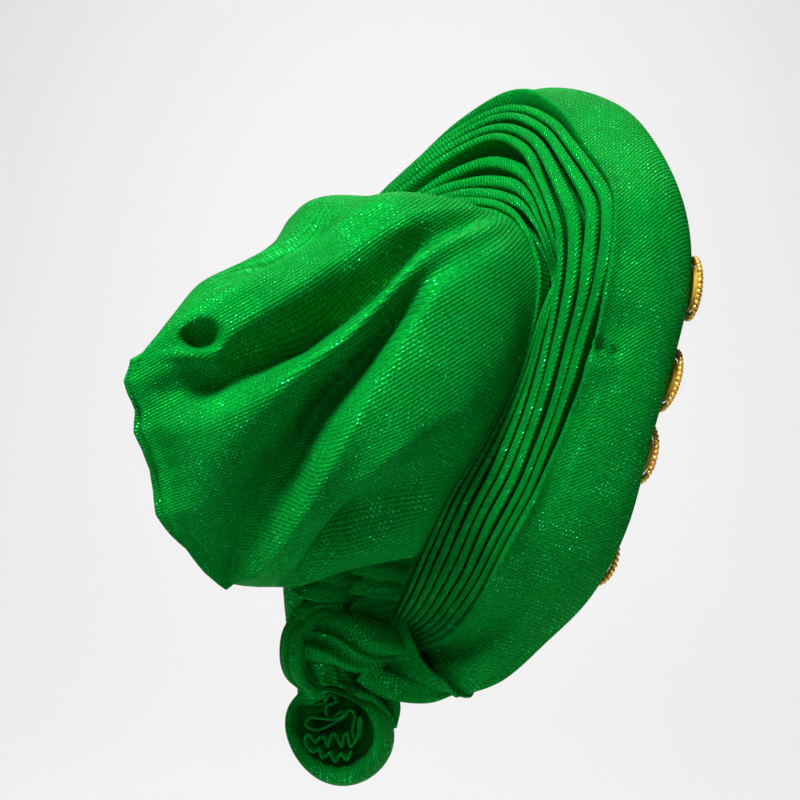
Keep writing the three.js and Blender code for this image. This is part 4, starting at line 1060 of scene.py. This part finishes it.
def gilt_beads():
    """Gilt glass beads, a little darker where the gilding has worn."""
    material = bpy.data.materials.new("gilt beads")
    material.use_nodes = True
    tree = material.node_tree
    shader = tree.nodes["Principled BSDF"]
    place = node(tree, "ShaderNodeTexCoord").outputs["Object"]
    worn = node(tree, "ShaderNodeTexNoise", {"Vector": place, "Scale": 420, "Detail": 2}).outputs["Fac"]
    tree.links.new(mix(tree, ramp(tree, worn, 0.4, 0.65), GILT, WORN_GILT), shader.inputs["Base Color"])
    rough = number(tree, "ADD", 0.2, number(tree, "MULTIPLY", worn, 0.25))
    tree.links.new(rough, shader.inputs["Roughness"])
    shader.inputs["Metallic"].default_value = 0.4
    return material


YELLOW_CLOTH = yellow_cloth()
GILT_BEADS = gilt_beads()


def ring_place(node_name):
    """The middle of a braid's ring in the frame, and a turn that brings +Z to its outward normal."""
    points = np.array([v.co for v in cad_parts[node_name].data.vertices])
    middle = points.mean(axis=0)
    normal = np.linalg.svd(points - middle, full_matrices=False)[2][2]
    normal = normal * np.sign(normal @ (middle - INSIDE))
    return Vector(middle), Vector(normal).to_track_quat("Z", "Y").to_matrix().to_4x4()


for k in range(1, 9):
    middle, turn = ring_place(f"braid_{k}")
    place = Matrix.Translation(middle) @ turn
    pad = bmesh.new()
    bmesh.ops.create_uvsphere(pad, u_segments=48, v_segments=24, radius=MEDALLION_RADIUS, calc_uvs=True)
    for vert in pad.verts:
        ring = math.hypot(vert.co.x, vert.co.y) / MEDALLION_RADIUS
        puff = MEDALLION_HEIGHT / MEDALLION_RADIUS * (1 - PAD_DIMPLE * math.cos(PAD_RINGS * ring))
        vert.co.z = vert.co.z * puff if vert.co.z > 0 else vert.co.z * PAD_BACK
    bmesh.ops.translate(pad, verts=pad.verts, vec=(0, 0, -PAD_SINK))
    uv = pad.loops.layers.uv.verify()
    for face in pad.faces:
        for loop in face.loops:
            x, y = loop.vert.co.x, loop.vert.co.y
            loop[uv].uv = (math.hypot(x, y), 0)
    bmesh.ops.transform(pad, matrix=place, verts=pad.verts)
    for face in pad.faces:
        face.smooth = True
    pad_data = bpy.data.meshes.new(f"medallion_pad_{k}")
    pad.to_mesh(pad_data)
    pad.free()
    pad_data.uv_layers[0].name = "cloth"
    pad_data.materials.append(YELLOW_CLOTH)
    pad_piece = bpy.data.objects.new(f"medallion_pad_{k}", pad_data)
    bpy.context.collection.objects.link(pad_piece)
    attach(pad_piece, "root")
    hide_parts(f"medallion_{k}")

    beads = bmesh.new()
    for count, radius, height in BEAD_ROUNDS:
        for j in range(count):
            turn_j = 2 * math.pi * j / count
            spot = Vector((radius * math.cos(turn_j), radius * math.sin(turn_j), height))
            bead_place = place @ Matrix.Translation(spot)
            bmesh.ops.create_icosphere(beads, subdivisions=2, radius=BEAD, matrix=bead_place)
    for face in beads.faces:
        face.smooth = True
    bead_data = bpy.data.meshes.new(f"braid_beads_{k}")
    beads.to_mesh(bead_data)
    beads.free()
    bead_data.materials.append(GILT_BEADS)
    bead_piece = bpy.data.objects.new(f"braid_beads_{k}", bead_data)
    bpy.context.collection.objects.link(bead_piece)
    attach(bead_piece, "root")
    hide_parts(f"braid_{k}")
